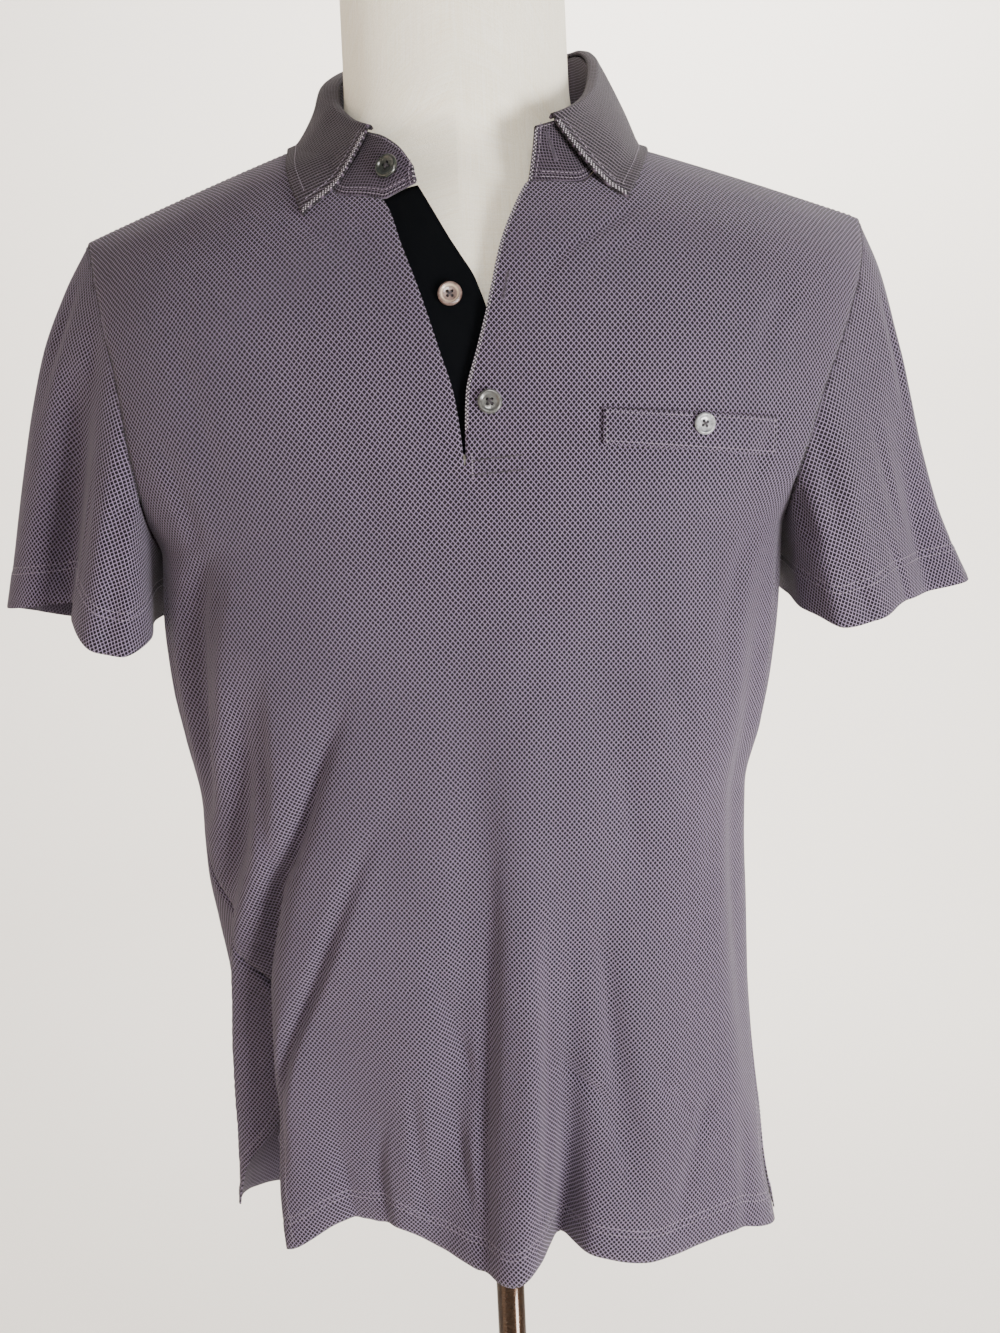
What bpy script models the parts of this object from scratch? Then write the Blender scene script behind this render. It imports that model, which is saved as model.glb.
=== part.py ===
# A short-sleeved polo shirt hanging open at the neck on a limbless dress form.
# Metres, +Z up. The shirt faces -Y, and x grows towards the viewer's right.
# Every cloth piece is an open grid of sections, given a wall by moving its own points inwards.
import bmesh
import bpy
import numpy as np
from math import pi
from mathutils import Vector

# ---------------------------------------------------------------- sizes (millimetres)
CLOTH = 1.5           # wall of every cloth panel
GAP = 0.3             # air between two sewn pieces
SQUARE = 2.5          # 2 is an ellipse, more is squarer in plan
VENT_LEFT = 468.0     # height of the top of the hem vents
VENT_RIGHT = 425.0

HEM = 357.0
VENT_BACK = 80.0      # angle of the back panel's vent edges at the hem
FRONT_ROWS = (357.0, 366.0, 378.0, 392.0, 408.0, 425.0, 445.0, 468.0, 495.0, 525.0, 560.0, 595.0, 630.0, 665.0,
              700.0, 733.0, 763.0, 790.0,
              800.0, 815.0, 836.0, 855.0, 878.0, 903.0, 928.0, 952.0, 977.0, 982.0, 986.0, 991.0, 1003.0,
              1013.0, 1023.0, 1032.0, 1039.0, 1042.0)
BACK_ROWS = FRONT_ROWS[:18] + (800.0, 815.0, 836.0, 855.0, 881.0, 915.0, 955.0, 990.0, 1018.0, 1036.0, 1038.6,
                               1040.2, 1041.0, 1041.6, 1042.0)
HULL_ROWS = 18        # rows at and below the underarm
VENT_ROW_LEFT, VENT_ROW_RIGHT = 7, 5      # the first rows above the vents
HALF_COLS = 16
SLEEVE_GAP = 0.8
SLEEVE_STEPS = (0.0, 0.06, 0.14, 0.24, 0.36, 0.48, 0.6, 0.72, 0.84, 0.93, 1.0)
STAND_COLS, LEAF_COLS = 44, 40
STAND_END = (-21.0, -83.8, 981.5)
NECK_LEFT, NECK_RIGHT = 977.0, 986.0      # rows of the front where the neck seam starts
LEAF_CLEAR = 2.6
STAND_BUTTON = (-36.2, -81.7, 990.1)
STAND_BUTTON_FACING = (-0.42, -0.86, 0.28)

BACK_NECK = (
    # height  left  right
    (1036.0, 0.0, 0.0),
    (1038.6, -50.0, 50.0),
    (1040.2, -66.0, 67.0),
    (1041.0, -73.0, 75.0),
    (1041.6, -76.5, 78.5),
    (1042.0, -78.0, 80.0),
)
# Strips that follow the front, one line per row: row height, across and how far off the front at each end.
UNDER_PLACKET = (
    # left end           right end
    (842.0, -14.0, -3.9, 842.0, 12.0, -4.0),
    (862.0, -16.0, -3.4, 862.0, 12.0, -4.0),
    (884.0, -20.0, -2.8, 884.0, 13.0, -4.0),
    (906.0, -27.0, -2.3, 906.0, 13.5, -4.0),
    (930.0, -36.0, -2.3, 930.0, 7.5, -3.9),
    (954.0, -46.0, -2.3, 954.0, -6.0, -3.2),
    (980.5, -55.0, -2.3, 984.0, -21.3, -3.0),
)
OVER_PLACKET = (
    (838.0, -1.3, -2.2, 838.0, 28.0, -2.2),
    (862.0, -0.6, -2.2, 862.0, 29.0, -2.2),
    (884.0, 3.4, -2.2, 884.0, 32.0, -2.2),
    (906.0, 10.2, -2.2, 906.0, 38.5, -2.2),
    (930.0, 16.6, -2.2, 930.0, 45.0, -2.2),
    (954.0, 22.8, -2.2, 954.0, 51.5, -2.2),
    (979.0, 33.2, -2.2, 975.0, 60.0, -2.2),
)
POCKET_WELT = (
    (845.0, 68.7, 1.75, 838.0, 163.5, 1.75),
    (854.5, 69.0, 1.75, 848.5, 164.0, 1.75),
    (864.0, 69.5, 1.75, 859.0, 164.0, 1.75),
)
BUTTONS = (
    # name, across, row height, off the front, diameter, height, colour
    ("button_stand", 0.0, 990.0, 0.0, 12.7, 2.6, "dark"),
    ("button_upper", -6.5, 923.5, -2.8, 12.7, 2.6, "rose"),
    ("button_lower", 11.6, 868.0, 0.5, 12.7, 2.6, "grey"),
    ("button_pocket", 122.0, 855.0, 2.3, 11.5, 2.4, "pale"),
)
POLE_R, POLE_FOOT, POLE_TOP = 9.5, 12.4, 431.6
BASE = ((0, 0), (148.0, 0), (150.0, 1.5), (150.0, 5.0), (147.5, 7.0), (18.0, 12.0), (0, 12.0))

for old in list(bpy.data.objects):
    bpy.data.objects.remove(old)
PIECES = bpy.data.collections.new("polo shirt on dress form")
CUTTERS = bpy.data.collections.new("cutters")
bpy.context.scene.collection.children.link(PIECES)
bpy.context.scene.collection.children.link(CUTTERS)
CUTTERS.hide_render = True

# Rings of the shirt's body, hem to underarm: height, half width on each side, depth in front and behind,
# and the angle round the ring (0 is the middle of the front, 90 the side) of the two side seams.
HULL = (
    # height  left   right  front  back  seam_l  seam_r
    (357.0, 178.0, 178.0, 90.0, 90.0, 47.0, 72.0),
    (395.0, 176.0, 171.0, 91.0, 91.0, 50.0, 75.0),
    (425.0, 173.5, 169.0, 92.0, 92.0, 51.0, 78.0),
    (468.0, 172.0, 165.5, 94.0, 92.0, 52.0, 80.0),
    (510.0, 172.0, 163.0, 96.0, 92.0, 56.0, 83.0),
    (560.0, 175.0, 161.5, 99.0, 93.0, 64.0, 86.0),
    (600.0, 178.0, 160.5, 102.0, 94.0, 72.0, 88.0),
    (635.0, 178.0, 161.0, 105.0, 96.0, 80.0, 90.0),
    (680.0, 184.0, 172.0, 108.0, 97.0, 86.0, 90.0),
    (715.0, 188.5, 177.5, 110.0, 98.0, 89.0, 90.0),
    (750.0, 190.0, 181.0, 111.0, 98.0, 90.0, 90.0),
    (790.0, 188.0, 183.0, 112.0, 98.0, 90.0, 90.0),
)
# Rows of the front above the underarm: height at the middle, then where the armhole seam crosses the row
# (across, forward, height) on each side, the depth at the middle, and the row's height at the middle right.
YOKE = (
    # height  across_l forward_l up_l  across_r forward_r up_r  front   mid_r
    (800.0, 186.5, 30.0, 797.0, 181.0, 30.0, 797.0, 112.0, 800.0),
    (815.0, 186.0, 52.0, 812.0, 179.5, 55.0, 812.0, 112.0, 815.0),
    (833.0, 186.0, 64.0, 829.0, 181.5, 69.0, 829.0, 112.0, 833.0),
    (851.0, 187.0, 69.0, 847.0, 187.0, 72.0, 847.0, 112.0, 851.0),
    (875.0, 189.0, 69.0, 868.0, 194.0, 69.0, 868.0, 111.0, 875.0),
    (903.0, 192.0, 65.0, 890.0, 204.0, 61.0, 890.0, 108.0, 903.0),
    (935.0, 197.0, 59.0, 912.0, 213.5, 50.0, 911.0, 101.0, 935.0),
    (975.0, 203.0, 47.0, 934.0, 222.0, 38.0, 932.0, 86.0, 973.0),
    (1011.0, 210.0, 29.0, 956.0, 228.0, 23.0, 952.0, 60.0, 1007.0),
    (1032.0, 216.0, 11.5, 970.0, 230.0, 9.5, 966.0, 25.0, 1027.0),
    (1042.0, 219.0, 0.05, 974.0, 229.5, 0.05, 970.0, 0.1, 1034.5),
)
# The same for the back: depth behind, and the height at the middle of each row.
BACK_YOKE = (
    # height  share_of_forward  back
    (800.0, 0.95, 98.0),
    (815.0, 0.95, 98.0),
    (833.0, 0.94, 98.0),
    (851.0, 0.93, 98.0),
    (877.0, 0.93, 98.0),
    (910.0, 0.94, 97.0),
    (953.0, 0.97, 94.0),
    (1000.0, 1.0, 85.0),
    (1036.0, 1.1, 66.0),
    (1041.0, 1.1, 28.0),
    (1042.0, 1.0, 0.1),
)
# Inner edges of the front: the slit, then the neck seam up to the shoulder. Across, by the row's height.
SLIT_EDGES = (
    # height  left    right
    (836.0, -2.9, -2.1),
    (851.0, -4.0, -1.9),
    (872.0, -6.6, -0.6),
    (895.0, -13.0, 6.0),
    (912.0, -17.8, 11.0),
    (926.0, -22.0, 14.5),
    (950.0, -30.0, 20.5),
    (977.0, -39.0, 31.0),
    (982.0, -50.0, 33.5),
    (986.0, -61.0, 36.0),
    (991.0, -66.0, 64.0),
    (1003.0, -71.0, 73.0),
    (1032.0, -77.5, 80.0),
    (1042.0, -78.0, 80.0),
)
# Hem: how much each place round the hem hangs above or below the hem's height.
HEM_LIFT = (
    # place (mm round the ring from the middle front, minus is the viewer's left)   lift
    (-560.0, -52.0),
    (-430.0, -50.0),
    (-330.0, -38.0),
    (-260.0, -16.0),
    (-215.0, 2.0),
    (-190.0, 8.0),
    (-165.0, 5.0),
    (-145.0, 2.0),
    (-105.0, 19.0),
    (-70.0, 19.0),
    (-40.0, 6.0),
    (0.0, 0.0),
    (24.0, 8.0),
    (50.0, 7.0),
    (90.0, 0.0),
    (140.0, 3.0),
    (190.0, -11.0),
    (225.0, -14.0),
    (300.0, -40.0),
    (430.0, -50.0),
    (560.0, -52.0),
)
# Folds of the body. Each runs down through a few places: height, place round the ring, half width, depth
# (plus is a ridge, minus a trough).
FOLDS = {
    "middle ridge": ((800, 16, 16, 0), (660, 19, 16, 4), (520, 20, 16, 9), (440, 15, 17, 13), (357, 7, 19, 17)),
    "middle trough": ((720, -6, 12, 0), (600, -10, 13, -4), (480, -22, 15, -10), (357, -44, 20, -14)),
    "right recess": ((600, 44, 10, 0), (500, 40, 10, -6), (420, 38, 10, -16), (357, 34, 11, -26)),
    "right lobe": ((640, 92, 22, 0), (500, 88, 24, 3), (357, 82, 26, 5)),
    "right crease": ((610, 62, 9, 0), (540, 66, 9, -4), (480, 71, 8, -6), (400, 80, 8, 0)),
    "left recess": ((560, -86, 34, 0), (460, -88, 34, -10), (357, -92, 30, -22)),
    "left pleat": ((745, -66, 9, 0), (650, -104, 12, -6), (590, -136, 14, -13), (530, -158, 15, -20),
                   (450, -166, 17, -24), (357, -172, 18, -20)),
    "left ridge": ((620, -160, 14, 0), (560, -176, 15, 5), (450, -186, 15, 6), (357, -190, 15, 2)),
    "far left pleat": ((740, -132, 12, 0), (670, -146, 15, -10), (600, -168, 15, -12), (520, -196, 13, -10),
                       (440, -206, 10, -5), (357, -206, 10, 0)),
    "underarm pleat": ((800, -150, 11, 0), (770, -164, 12, -7), (720, -178, 13, -12), (670, -184, 12, -9),
                       (620, -190, 12, 0)),
    "right soft": ((760, 62, 16, 0), (680, 74, 18, -4), (600, 84, 18, -3), (540, 86, 18, 0)),
    "right side": ((800, 176, 14, 0), (700, 172, 16, -5), (600, 168, 18, -6), (480, 172, 18, -4), (357, 178, 18, 3)),
    "back left": ((760, -300, 26, 0), (640, -318, 28, -9), (500, -332, 30, -16), (357, -340, 32, -22)),
    "back left ridge": ((640, -372, 26, 0), (500, -382, 26, 8), (357, -390, 28, 12)),
    "back middle": ((700, 470, 28, 0), (560, 464, 28, -9), (450, 452, 30, -15), (357, 448, 30, -20)),
    "back right": ((740, 330, 24, 0), (600, 336, 26, -8), (480, 344, 28, -13), (357, 348, 28, -18)),
    "back right ridge": ((620, 396, 24, 0), (480, 396, 26, 7), (357, 396, 28, 10)),
}
# Hem ring of each sleeve, from the outer edge round the front, the underarm and the back.
SLEEVE_HEMS = {
    "left": (
        # across  forward  height
        (-290.0, -4.0, 762.0),
        (-279.0, -26.0, 763.0),
        (-260.0, -38.0, 765.0),
        (-240.0, -34.0, 766.0),
        (-232.0, -58.0, 757.0),
        (-216.0, -75.0, 742.0),
        (-200.0, -73.0, 738.0),
        (-190.0, -52.0, 745.0),
        (-196.5, -18.0, 751.0),
        (-197.0, 18.0, 752.0),
        (-208.0, 45.0, 750.0),
        (-236.0, 54.0, 748.0),
        (-264.0, 44.0, 749.0),
        (-284.0, 22.0, 756.0),
    ),
    "right": (
        (302.0, 0.0, 756.0),
        (292.0, -24.0, 754.0),
        (270.0, -34.0, 750.0),
        (247.0, -48.0, 747.0),
        (228.0, -66.0, 740.0),
        (208.0, -66.0, 736.0),
        (196.0, -52.0, 742.0),
        (189.0, -36.0, 746.0),
        (190.0, -12.0, 749.0),
        (191.0, 18.0, 751.0),
        (206.0, 46.0, 750.0),
        (238.0, 56.0, 748.0),
        (270.0, 46.0, 750.0),
        (294.0, 24.0, 754.0),
    ),
}
# How far each sleeve's outer line lies outside the straight line from shoulder to hem.
SLEEVE_BOW = (
    # share  left  right
    (0.00, 0.0, 0.0),
    (0.15, 7.0, 3.0),
    (0.33, 11.0, 1.0),
    (0.45, 10.0, -2.0),
    (0.60, 7.5, -5.0),
    (0.75, 5.0, -6.0),
    (0.90, 2.0, -3.0),
    (1.00, 0.0, 0.0),
)
# Folds of the sleeves: share of the length from the armhole, share round the ring, half width (share), depth.
SLEEVE_FOLDS = {
    "left": (((0.22, 0.115, 0.035, 0), (0.45, 0.125, 0.036, -10), (0.75, 0.13, 0.036, -13), (1.0, 0.135, 0.034, -5)),
             ((0.30, 0.84, 0.05, 0), (0.65, 0.83, 0.05, -7), (1.0, 0.82, 0.05, -9))),
    "right": (((0.30, 0.115, 0.035, 0), (0.60, 0.12, 0.036, -6), (0.85, 0.125, 0.036, -9), (1.0, 0.125, 0.036, -7)),
              ((0.45, 0.235, 0.03, 0), (0.75, 0.24, 0.03, -5), (1.0, 0.245, 0.03, -3)),
              ((0.30, 0.84, 0.05, 0), (0.65, 0.85, 0.05, -6), (1.0, 0.86, 0.05, -8))),
}
# Fold line of the collar (the top of the stand) and lower edge of the leaf, from the left front end round the
# back to the right front end: share of the stand's length, then across, back, height.
COLLAR_TOP = (
    (0.000, -22.5, -81.5, 990.0),
    (0.020, -29.5, -78.0, 1000.5),
    (0.045, -38.5, -72.0, 1008.0),
    (0.075, -46.5, -62.5, 1012.5),
    (0.110, -54.0, -50.0, 1018.0),
    (0.150, -60.5, -36.0, 1026.0),
    (0.190, -66.0, -22.0, 1035.0),
    (0.280, -69.0, 9.0, 1054.0),
    (0.370, -61.5, 42.0, 1071.5),
    (0.440, -40.0, 66.0, 1080.5),
    (0.510, 0.0, 75.0, 1080.5),
    (0.580, 41.0, 69.0, 1079.5),
    (0.650, 72.5, 47.0, 1077.5),
    (0.730, 78.0, 14.0, 1063.0),
    (0.815, 74.5, -20.0, 1041.0),
    (0.890, 66.0, -48.0, 1024.0),
    (0.955, 53.0, -65.0, 1014.0),
    (1.000, 41.5, -72.5, 1009.5),
)
COLLAR_EDGE = (
    (0.068, -80.8, -76.0, 965.2),
    (0.120, -90.5, -55.0, 990.0),
    (0.200, -95.0, -26.0, 1010.0),
    (0.290, -98.5, 12.0, 1021.0),
    (0.370, -86.0, 54.0, 1031.0),
    (0.440, -54.0, 87.0, 1036.0),
    (0.510, 0.0, 100.0, 1038.0),
    (0.580, 56.0, 90.0, 1036.0),
    (0.650, 90.0, 58.0, 1031.0),
    (0.730, 103.5, 16.0, 1017.0),
    (0.810, 104.5, -22.0, 1003.0),
    (0.890, 99.0, -54.0, 989.0),
    (0.968, 88.3, -77.0, 969.3),
)
# How far the fold rolls out from the stand, and how far the leaf swells between fold and edge, along the collar.
COLLAR_ROLL = (
    (0.000, 3.8, 2.6),
    (0.070, 3.8, 2.6),
    (0.120, 5.0, 1.5),
    (0.190, 8.0, -1.0),
    (0.280, 11.0, -2.4),
    (0.370, 9.0, -1.5),
    (0.440, 5.5, 1.0),
    (0.510, 4.5, 2.6),
    (0.600, 5.5, 2.6),
    (0.680, 6.5, 2.6),
    (0.800, 6.5, 2.6),
    (0.890, 5.0, 2.6),
    (1.000, 4.0, 2.6),
)
# The leaf's two front edges bow towards the middle of the chest: left end, right end.
LEAF_BOW = ((3.5, -3.2, -3.0), (-3.0, -1.2, -2.4))
# Rings of the dress form, foot to neck: height, half width, depth in front and behind, squareness.
FORM = (
    # height  half   front  back  square
    (432.0, 118.0, 56.0, 62.0, 2.2),
    (470.0, 128.0, 64.0, 68.0, 2.2),
    (520.0, 134.0, 74.0, 72.0, 2.2),
    (600.0, 140.0, 84.0, 76.0, 2.2),
    (680.0, 150.0, 94.0, 82.0, 2.2),
    (750.0, 160.0, 102.0, 88.0, 2.3),
    (800.0, 167.0, 106.5, 94.0, 2.35),
    (850.0, 173.0, 105.8, 95.5, 2.35),
    (890.0, 180.0, 102.5, 94.5, 2.25),
    (920.0, 187.0, 97.0, 91.0, 2.05),
    (945.0, 192.0, 90.0, 87.0, 1.75),
    (965.0, 193.0, 81.0, 81.0, 1.5),
    (985.0, 177.0, 71.0, 73.0, 1.32),
    (1000.0, 134.0, 62.0, 64.0, 1.4),
    (1014.0, 84.0, 57.0, 57.5, 1.6),
    (1021.0, 72.0, 56.5, 57.0, 1.85),
    (1030.0, 66.5, 57.0, 57.0, 2.1),
    (1050.0, 64.5, 56.5, 57.0, 2.1),
    (1085.0, 64.0, 56.5, 57.0, 2.1),
    (1112.0, 63.5, 56.0, 56.5, 2.1),
    (1121.0, 60.5, 53.0, 53.5, 2.1),
    (1125.0, 53.0, 46.0, 46.5, 2.1),
)


# ---------------------------------------------------------------- curves and surfaces
def smooth(table, at):
    """Every column of a table as a smooth curve over its first column, read at the given places."""
    rows = np.asarray(table, float)
    x, y = rows[:, 0], rows[:, 1:]
    rise = np.diff(y, axis=0) / np.diff(x)[:, None]
    before, after = rise[:-1], rise[1:]
    both = before + after
    same = before * after > 0
    slope = np.vstack([rise[:1], np.where(same, 2 * before * after / np.where(same, both, 1), 0), rise[-1:]])
    at = np.atleast_1d(np.clip(at, x[0], x[-1]))
    i = np.clip(np.searchsorted(x, at, side="right") - 1, 0, len(x) - 2)
    step = (x[i + 1] - x[i])[:, None]
    u = ((at - x[i]) / step[:, 0])[:, None]
    return ((2 * u**3 - 3 * u**2 + 1) * y[i] + (u**3 - 2 * u**2 + u) * step * slope[i]
            + (3 * u**2 - 2 * u**3) * y[i + 1] + (u**3 - u**2) * step * slope[i + 1])


def edge_to_ring(across, forward, depth):
    """Half width and angle of the ring that passes through a point of the armhole seam."""
    angle = np.arccos(np.clip(forward / depth, 0, 1) ** (SQUARE / 2))
    return across / np.sin(angle) ** (2 / SQUARE), np.degrees(angle)


def front_table():
    rows = [(h, l, r, f, sl, sr, h, h, h) for h, l, r, f, b, sl, sr in HULL]
    for h, xl, yl, zl, xr, yr, zr, depth, mid_r in YOKE:
        al, tl = edge_to_ring(xl, yl, depth)
        ar, tr = edge_to_ring(xr, yr, depth)
        rows.append((h, al, ar, depth, tl, tr, zl, zr, mid_r))
    return rows


def back_table():
    rows = []
    for h, l, r, f, b, sl, sr in HULL:
        open_l = max(0.0, VENT_LEFT - h) / (VENT_LEFT - 357.0) * (VENT_BACK - 47.0)
        open_r = max(0.0, VENT_RIGHT - h) / (VENT_RIGHT - 357.0) * (VENT_BACK - 72.0)
        rows.append((h, l, r, b, 180 - sl - open_l, 180 - sr - open_r, h, h, h))
    for (h, share, depth), (_, xl, yl, zl, xr, yr, zr, _, mid_r) in zip(BACK_YOKE, YOKE):
        al, tl = edge_to_ring(xl, yl * share, depth)
        ar, tr = edge_to_ring(xr, yr * share, depth)
        rows.append((h, al, ar, depth, tl, tr, zl, zr, h - 7.5 if h > 1036 else h))
    return rows


FRONT, BACK = front_table(), back_table()


def ring_point(angle, half, depth):
    s, c = np.sin(angle), np.cos(angle)
    return half * np.sign(s) * np.abs(s) ** (2 / SQUARE), depth * np.sign(c) * np.abs(c) ** (2 / SQUARE)


def quarter(half, depth):
    """Length of a quarter of a ring."""
    x, y = ring_point(np.linspace(0, pi / 2, 121), half, depth)
    return np.hypot(np.diff(x), np.diff(y)).sum()


def fold_depth(height, place):
    """How far the folds move the cloth out at each place of a row."""
    out = np.zeros_like(place)
    for path in FOLDS.values():
        rows = sorted(path)
        if rows[0][0] - 1 <= height <= rows[-1][0]:
            at, width, depth = smooth(rows, height)[0]
            out += depth * np.exp(-((place - at) / width) ** 2)
    return out


def dense_row(height, facing):
    """One row from its left edge to its right edge as a fine line: across, y, height, place round the ring."""
    table, other = (FRONT, BACK) if facing == "front" else (BACK, FRONT)
    half_l, half_r, depth, seam_l, seam_r, up_l, up_r, mid_r = smooth(table, height)[0]
    far = smooth(other, height)[0][2]
    angle = np.radians(np.linspace(-seam_l, seam_r, 321))
    half = np.where(angle < 0, half_l, half_r)
    x, y = ring_point(angle, half, np.where(np.abs(angle) > pi / 2, far, depth))
    reach = np.abs(x) / np.where(x < 0, np.abs(x[0]), x[-1])
    soft = 0.25
    away = np.clip((np.sqrt(reach**2 + soft**2) - soft) / (np.sqrt(1 + soft**2) - soft), 0, 1)
    z = np.where(x < 0, height + (up_l - height) * away, mid_r + (up_r - mid_r) * away)
    place = np.concatenate([[0], np.cumsum(np.hypot(np.diff(x), np.diff(y)))])
    place -= np.interp(0, angle, place)
    if facing == "back":
        whole_l = quarter(half_l, depth) + quarter(half_l, far)
        whole_r = quarter(half_r, depth) + quarter(half_r, far)
        place = np.where(place < 0, -whole_l - place, whole_r - place)
    y = -y if facing == "front" else y
    tangent = np.stack([np.gradient(x), np.gradient(y)], axis=1)
    tangent /= np.linalg.norm(tangent, axis=1)[:, None] + 1e-9
    out = np.stack([tangent[:, 1], -tangent[:, 0]], axis=1)
    if facing == "back":
        out = -out
    moved = fold_depth(height, place)
    x, y = x + out[:, 0] * moved, y + out[:, 1] * moved
    near_hem = max(0.0, (540.0 - height) / (540.0 - HEM)) ** 1.5
    z = z + smooth(HEM_LIFT, place)[:, 0] * near_hem
    return np.stack([x, y, z], axis=1)


def part_of_row(row, side, inner, count):
    """The row from its outer edge to the place where it reaches the inner edge, in even steps."""
    if side == "left":
        line = row[: max(2, np.searchsorted(row[:, 0], inner))]
    else:
        line = row[min(len(row) - 2, np.searchsorted(row[:, 0], inner)):][::-1]
    end = row[np.abs(row[:, 0] - inner).argmin()].copy()
    for k in (1, 2):
        end[k] = np.interp(inner, row[:, 0], row[:, k])
    end[0] = inner
    line = np.vstack([line, end])
    length = np.concatenate([[0], np.cumsum(np.linalg.norm(np.diff(line, axis=0), axis=1))])
    at = np.linspace(0, length[-1], count)
    return np.stack([np.interp(at, length, line[:, k]) for k in range(3)], axis=1)


def half_panel(facing, side, heights, edges, count):
    """Grid of half a panel: one row per height, outer edge first."""
    column = 0 if side == "left" else 1
    rows = []
    for height in heights:
        inner = smooth(edges, height)[0][column] if height >= edges[0][0] else edges[0][1 + column]
        rows.append(part_of_row(dense_row(height, facing), side, inner, count))
    return np.array(rows)


# ---------------------------------------------------------------- meshes
def grid_faces(rows, cols, start=0, turned=False, closed=False):
    faces = []
    for i in range(rows - 1):
        for j in range(cols if closed else cols - 1):
            k = (j + 1) % cols
            quad = [start + i * cols + j, start + i * cols + k, start + (i + 1) * cols + k, start + (i + 1) * cols + j]
            faces.append(quad[::-1] if turned else quad)
    return faces


def vertex_normals(points, faces):
    out = np.zeros_like(points)
    for face in faces:
        a, b, c, d = (points[i] for i in face)
        out[face] += np.cross(c - a, d - b)
    return out / (np.linalg.norm(out, axis=1)[:, None] + 1e-12)


def wall(name, points, faces, material, thickness=CLOTH, normals=None):
    """Closed solid: the given faces, the same faces moved inwards, and a rim along the open edges."""
    points = np.asarray(points, float)
    normals = vertex_normals(points, faces) if normals is None else normals
    inner = points - normals * thickness
    count = len(points)
    solid = [list(f) for f in faces] + [[i + count for i in f][::-1] for f in faces]
    seen = {}
    for f in faces:
        for a, b in zip(f, f[1:] + f[:1]):
            seen[(a, b)] = True
    for a, b in list(seen):
        if (b, a) not in seen:
            solid.append([b, a, a + count, b + count])
    return mesh_object(name, np.vstack([points, inner]), solid, material)


def mesh_object(name, points, faces, material):
    used = sorted({i for f in faces for i in f})
    index = {old: new for new, old in enumerate(used)}
    mesh = bpy.data.meshes.new(name)
    mesh.from_pydata([tuple(points[i] / 1000.0) for i in used], [], [[index[i] for i in f] for f in faces])
    mesh.validate()
    mesh.update()
    mesh.materials.append(material)
    obj = bpy.data.objects.new(name, mesh)
    PIECES.objects.link(obj)
    return obj


def paint(name, colour, rough, metallic=0.0):
    mat = bpy.data.materials.new(name)
    mat.use_nodes = True
    shader = mat.node_tree.nodes["Principled BSDF"]
    shader.inputs["Base Color"].default_value = (*colour, 1.0)
    shader.inputs["Roughness"].default_value = rough
    shader.inputs["Metallic"].default_value = metallic
    mat.diffuse_color = (*colour, 1.0)
    return mat


def loft(name, rings, material):
    """Closed solid through rings of equal count, with a flat cap on each end."""
    rings = np.asarray(rings, float)
    n, count = rings.shape[:2]
    faces = grid_faces(n, count, closed=True)
    faces.append(list(range(count))[::-1])
    faces.append([(n - 1) * count + i for i in range(count)])
    return mesh_object(name, rings.reshape(-1, 3), faces, material)


def turned(name, profile, steps, material):
    """A shape turned round its own Z axis from (radius, height) pairs that start and end on the axis."""
    mesh = bpy.data.meshes.new(name)
    mesh.from_pydata([(r / 1000.0, 0.0, h / 1000.0) for r, h in profile],
                     [(i, i + 1) for i in range(len(profile) - 1)], [])
    mesh.materials.append(material)
    obj = bpy.data.objects.new(name, mesh)
    PIECES.objects.link(obj)
    screw = obj.modifiers.new("turned", "SCREW")
    screw.steps = screw.render_steps = steps
    screw.use_merge_vertices = True
    screw.merge_threshold = 0.00005
    screw.use_normal_calculate = True
    return obj


# ---------------------------------------------------------------- cloth pieces
def two_halves(left, right, split):
    """One panel out of two half grids whose middle columns are one up to the row `split`."""
    rows, cols = left.shape[:2]
    points = np.vstack([left.reshape(-1, 3), right.reshape(-1, 3)])
    faces = grid_faces(rows, cols)
    half = rows * cols
    for quad in grid_faces(rows, right.shape[1], start=half, turned=True):
        faces.append([shared(i, half, right.shape[1], cols, split) for i in quad])
    return points, faces


def shared(i, half, cols, left_cols, split):
    row, col = divmod(i - half, cols)
    if col == cols - 1 and row <= split:
        return row * left_cols + left_cols - 1
    return i


def body():
    """Front and back grids, with the normals of the two panels made one along the side and shoulder seams."""
    grids = {}
    for facing, heights, edges in (("front", FRONT_ROWS, SLIT_EDGES), ("back", BACK_ROWS, BACK_NECK)):
        left = half_panel(facing, "left", heights, edges, HALF_COLS)
        right = half_panel(facing, "right", heights, edges, HALF_COLS)
        split = max(i for i, h in enumerate(heights) if h <= edges[0][0])
        points, faces = two_halves(left, right, split)
        if facing == "back":
            faces = [f[::-1] for f in faces]
        grids[facing] = {"points": points, "faces": faces, "normals": vertex_normals(points, faces),
                         "rows": len(heights), "split": split}
    f, b = grids["front"], grids["back"]
    cols = HALF_COLS
    for start in (0, f["rows"] * cols):
        back_start = 0 if start == 0 else b["rows"] * cols
        pairs = [(start + i * cols, back_start + i * cols) for i in range(VENT_ROW_RIGHT if start else VENT_ROW_LEFT, HULL_ROWS)]
        top_f, top_b = start + (f["rows"] - 1) * cols, back_start + (b["rows"] - 1) * cols
        pairs += [(top_f + j, top_b + j) for j in range(cols)]
        for i, j in pairs:
            both = f["normals"][i] + b["normals"][j]
            both /= np.linalg.norm(both)
            f["normals"][i] = b["normals"][j] = both
    for side, start in ((-1, 0), (1, 1)):
        for grid, sign in ((f, -1), (b, 1)):
            first = start * grid["rows"] * cols
            for j in range(cols):
                grid["points"][first + (grid["rows"] - 1) * cols + j][1] += sign * 0.25
            for i in range(HULL_ROWS):
                k = first + i * cols
                step = grid["points"][k + 1] - grid["points"][k]
                grid["points"][k] += step / np.linalg.norm(step) * 0.4
    return f, b


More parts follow.
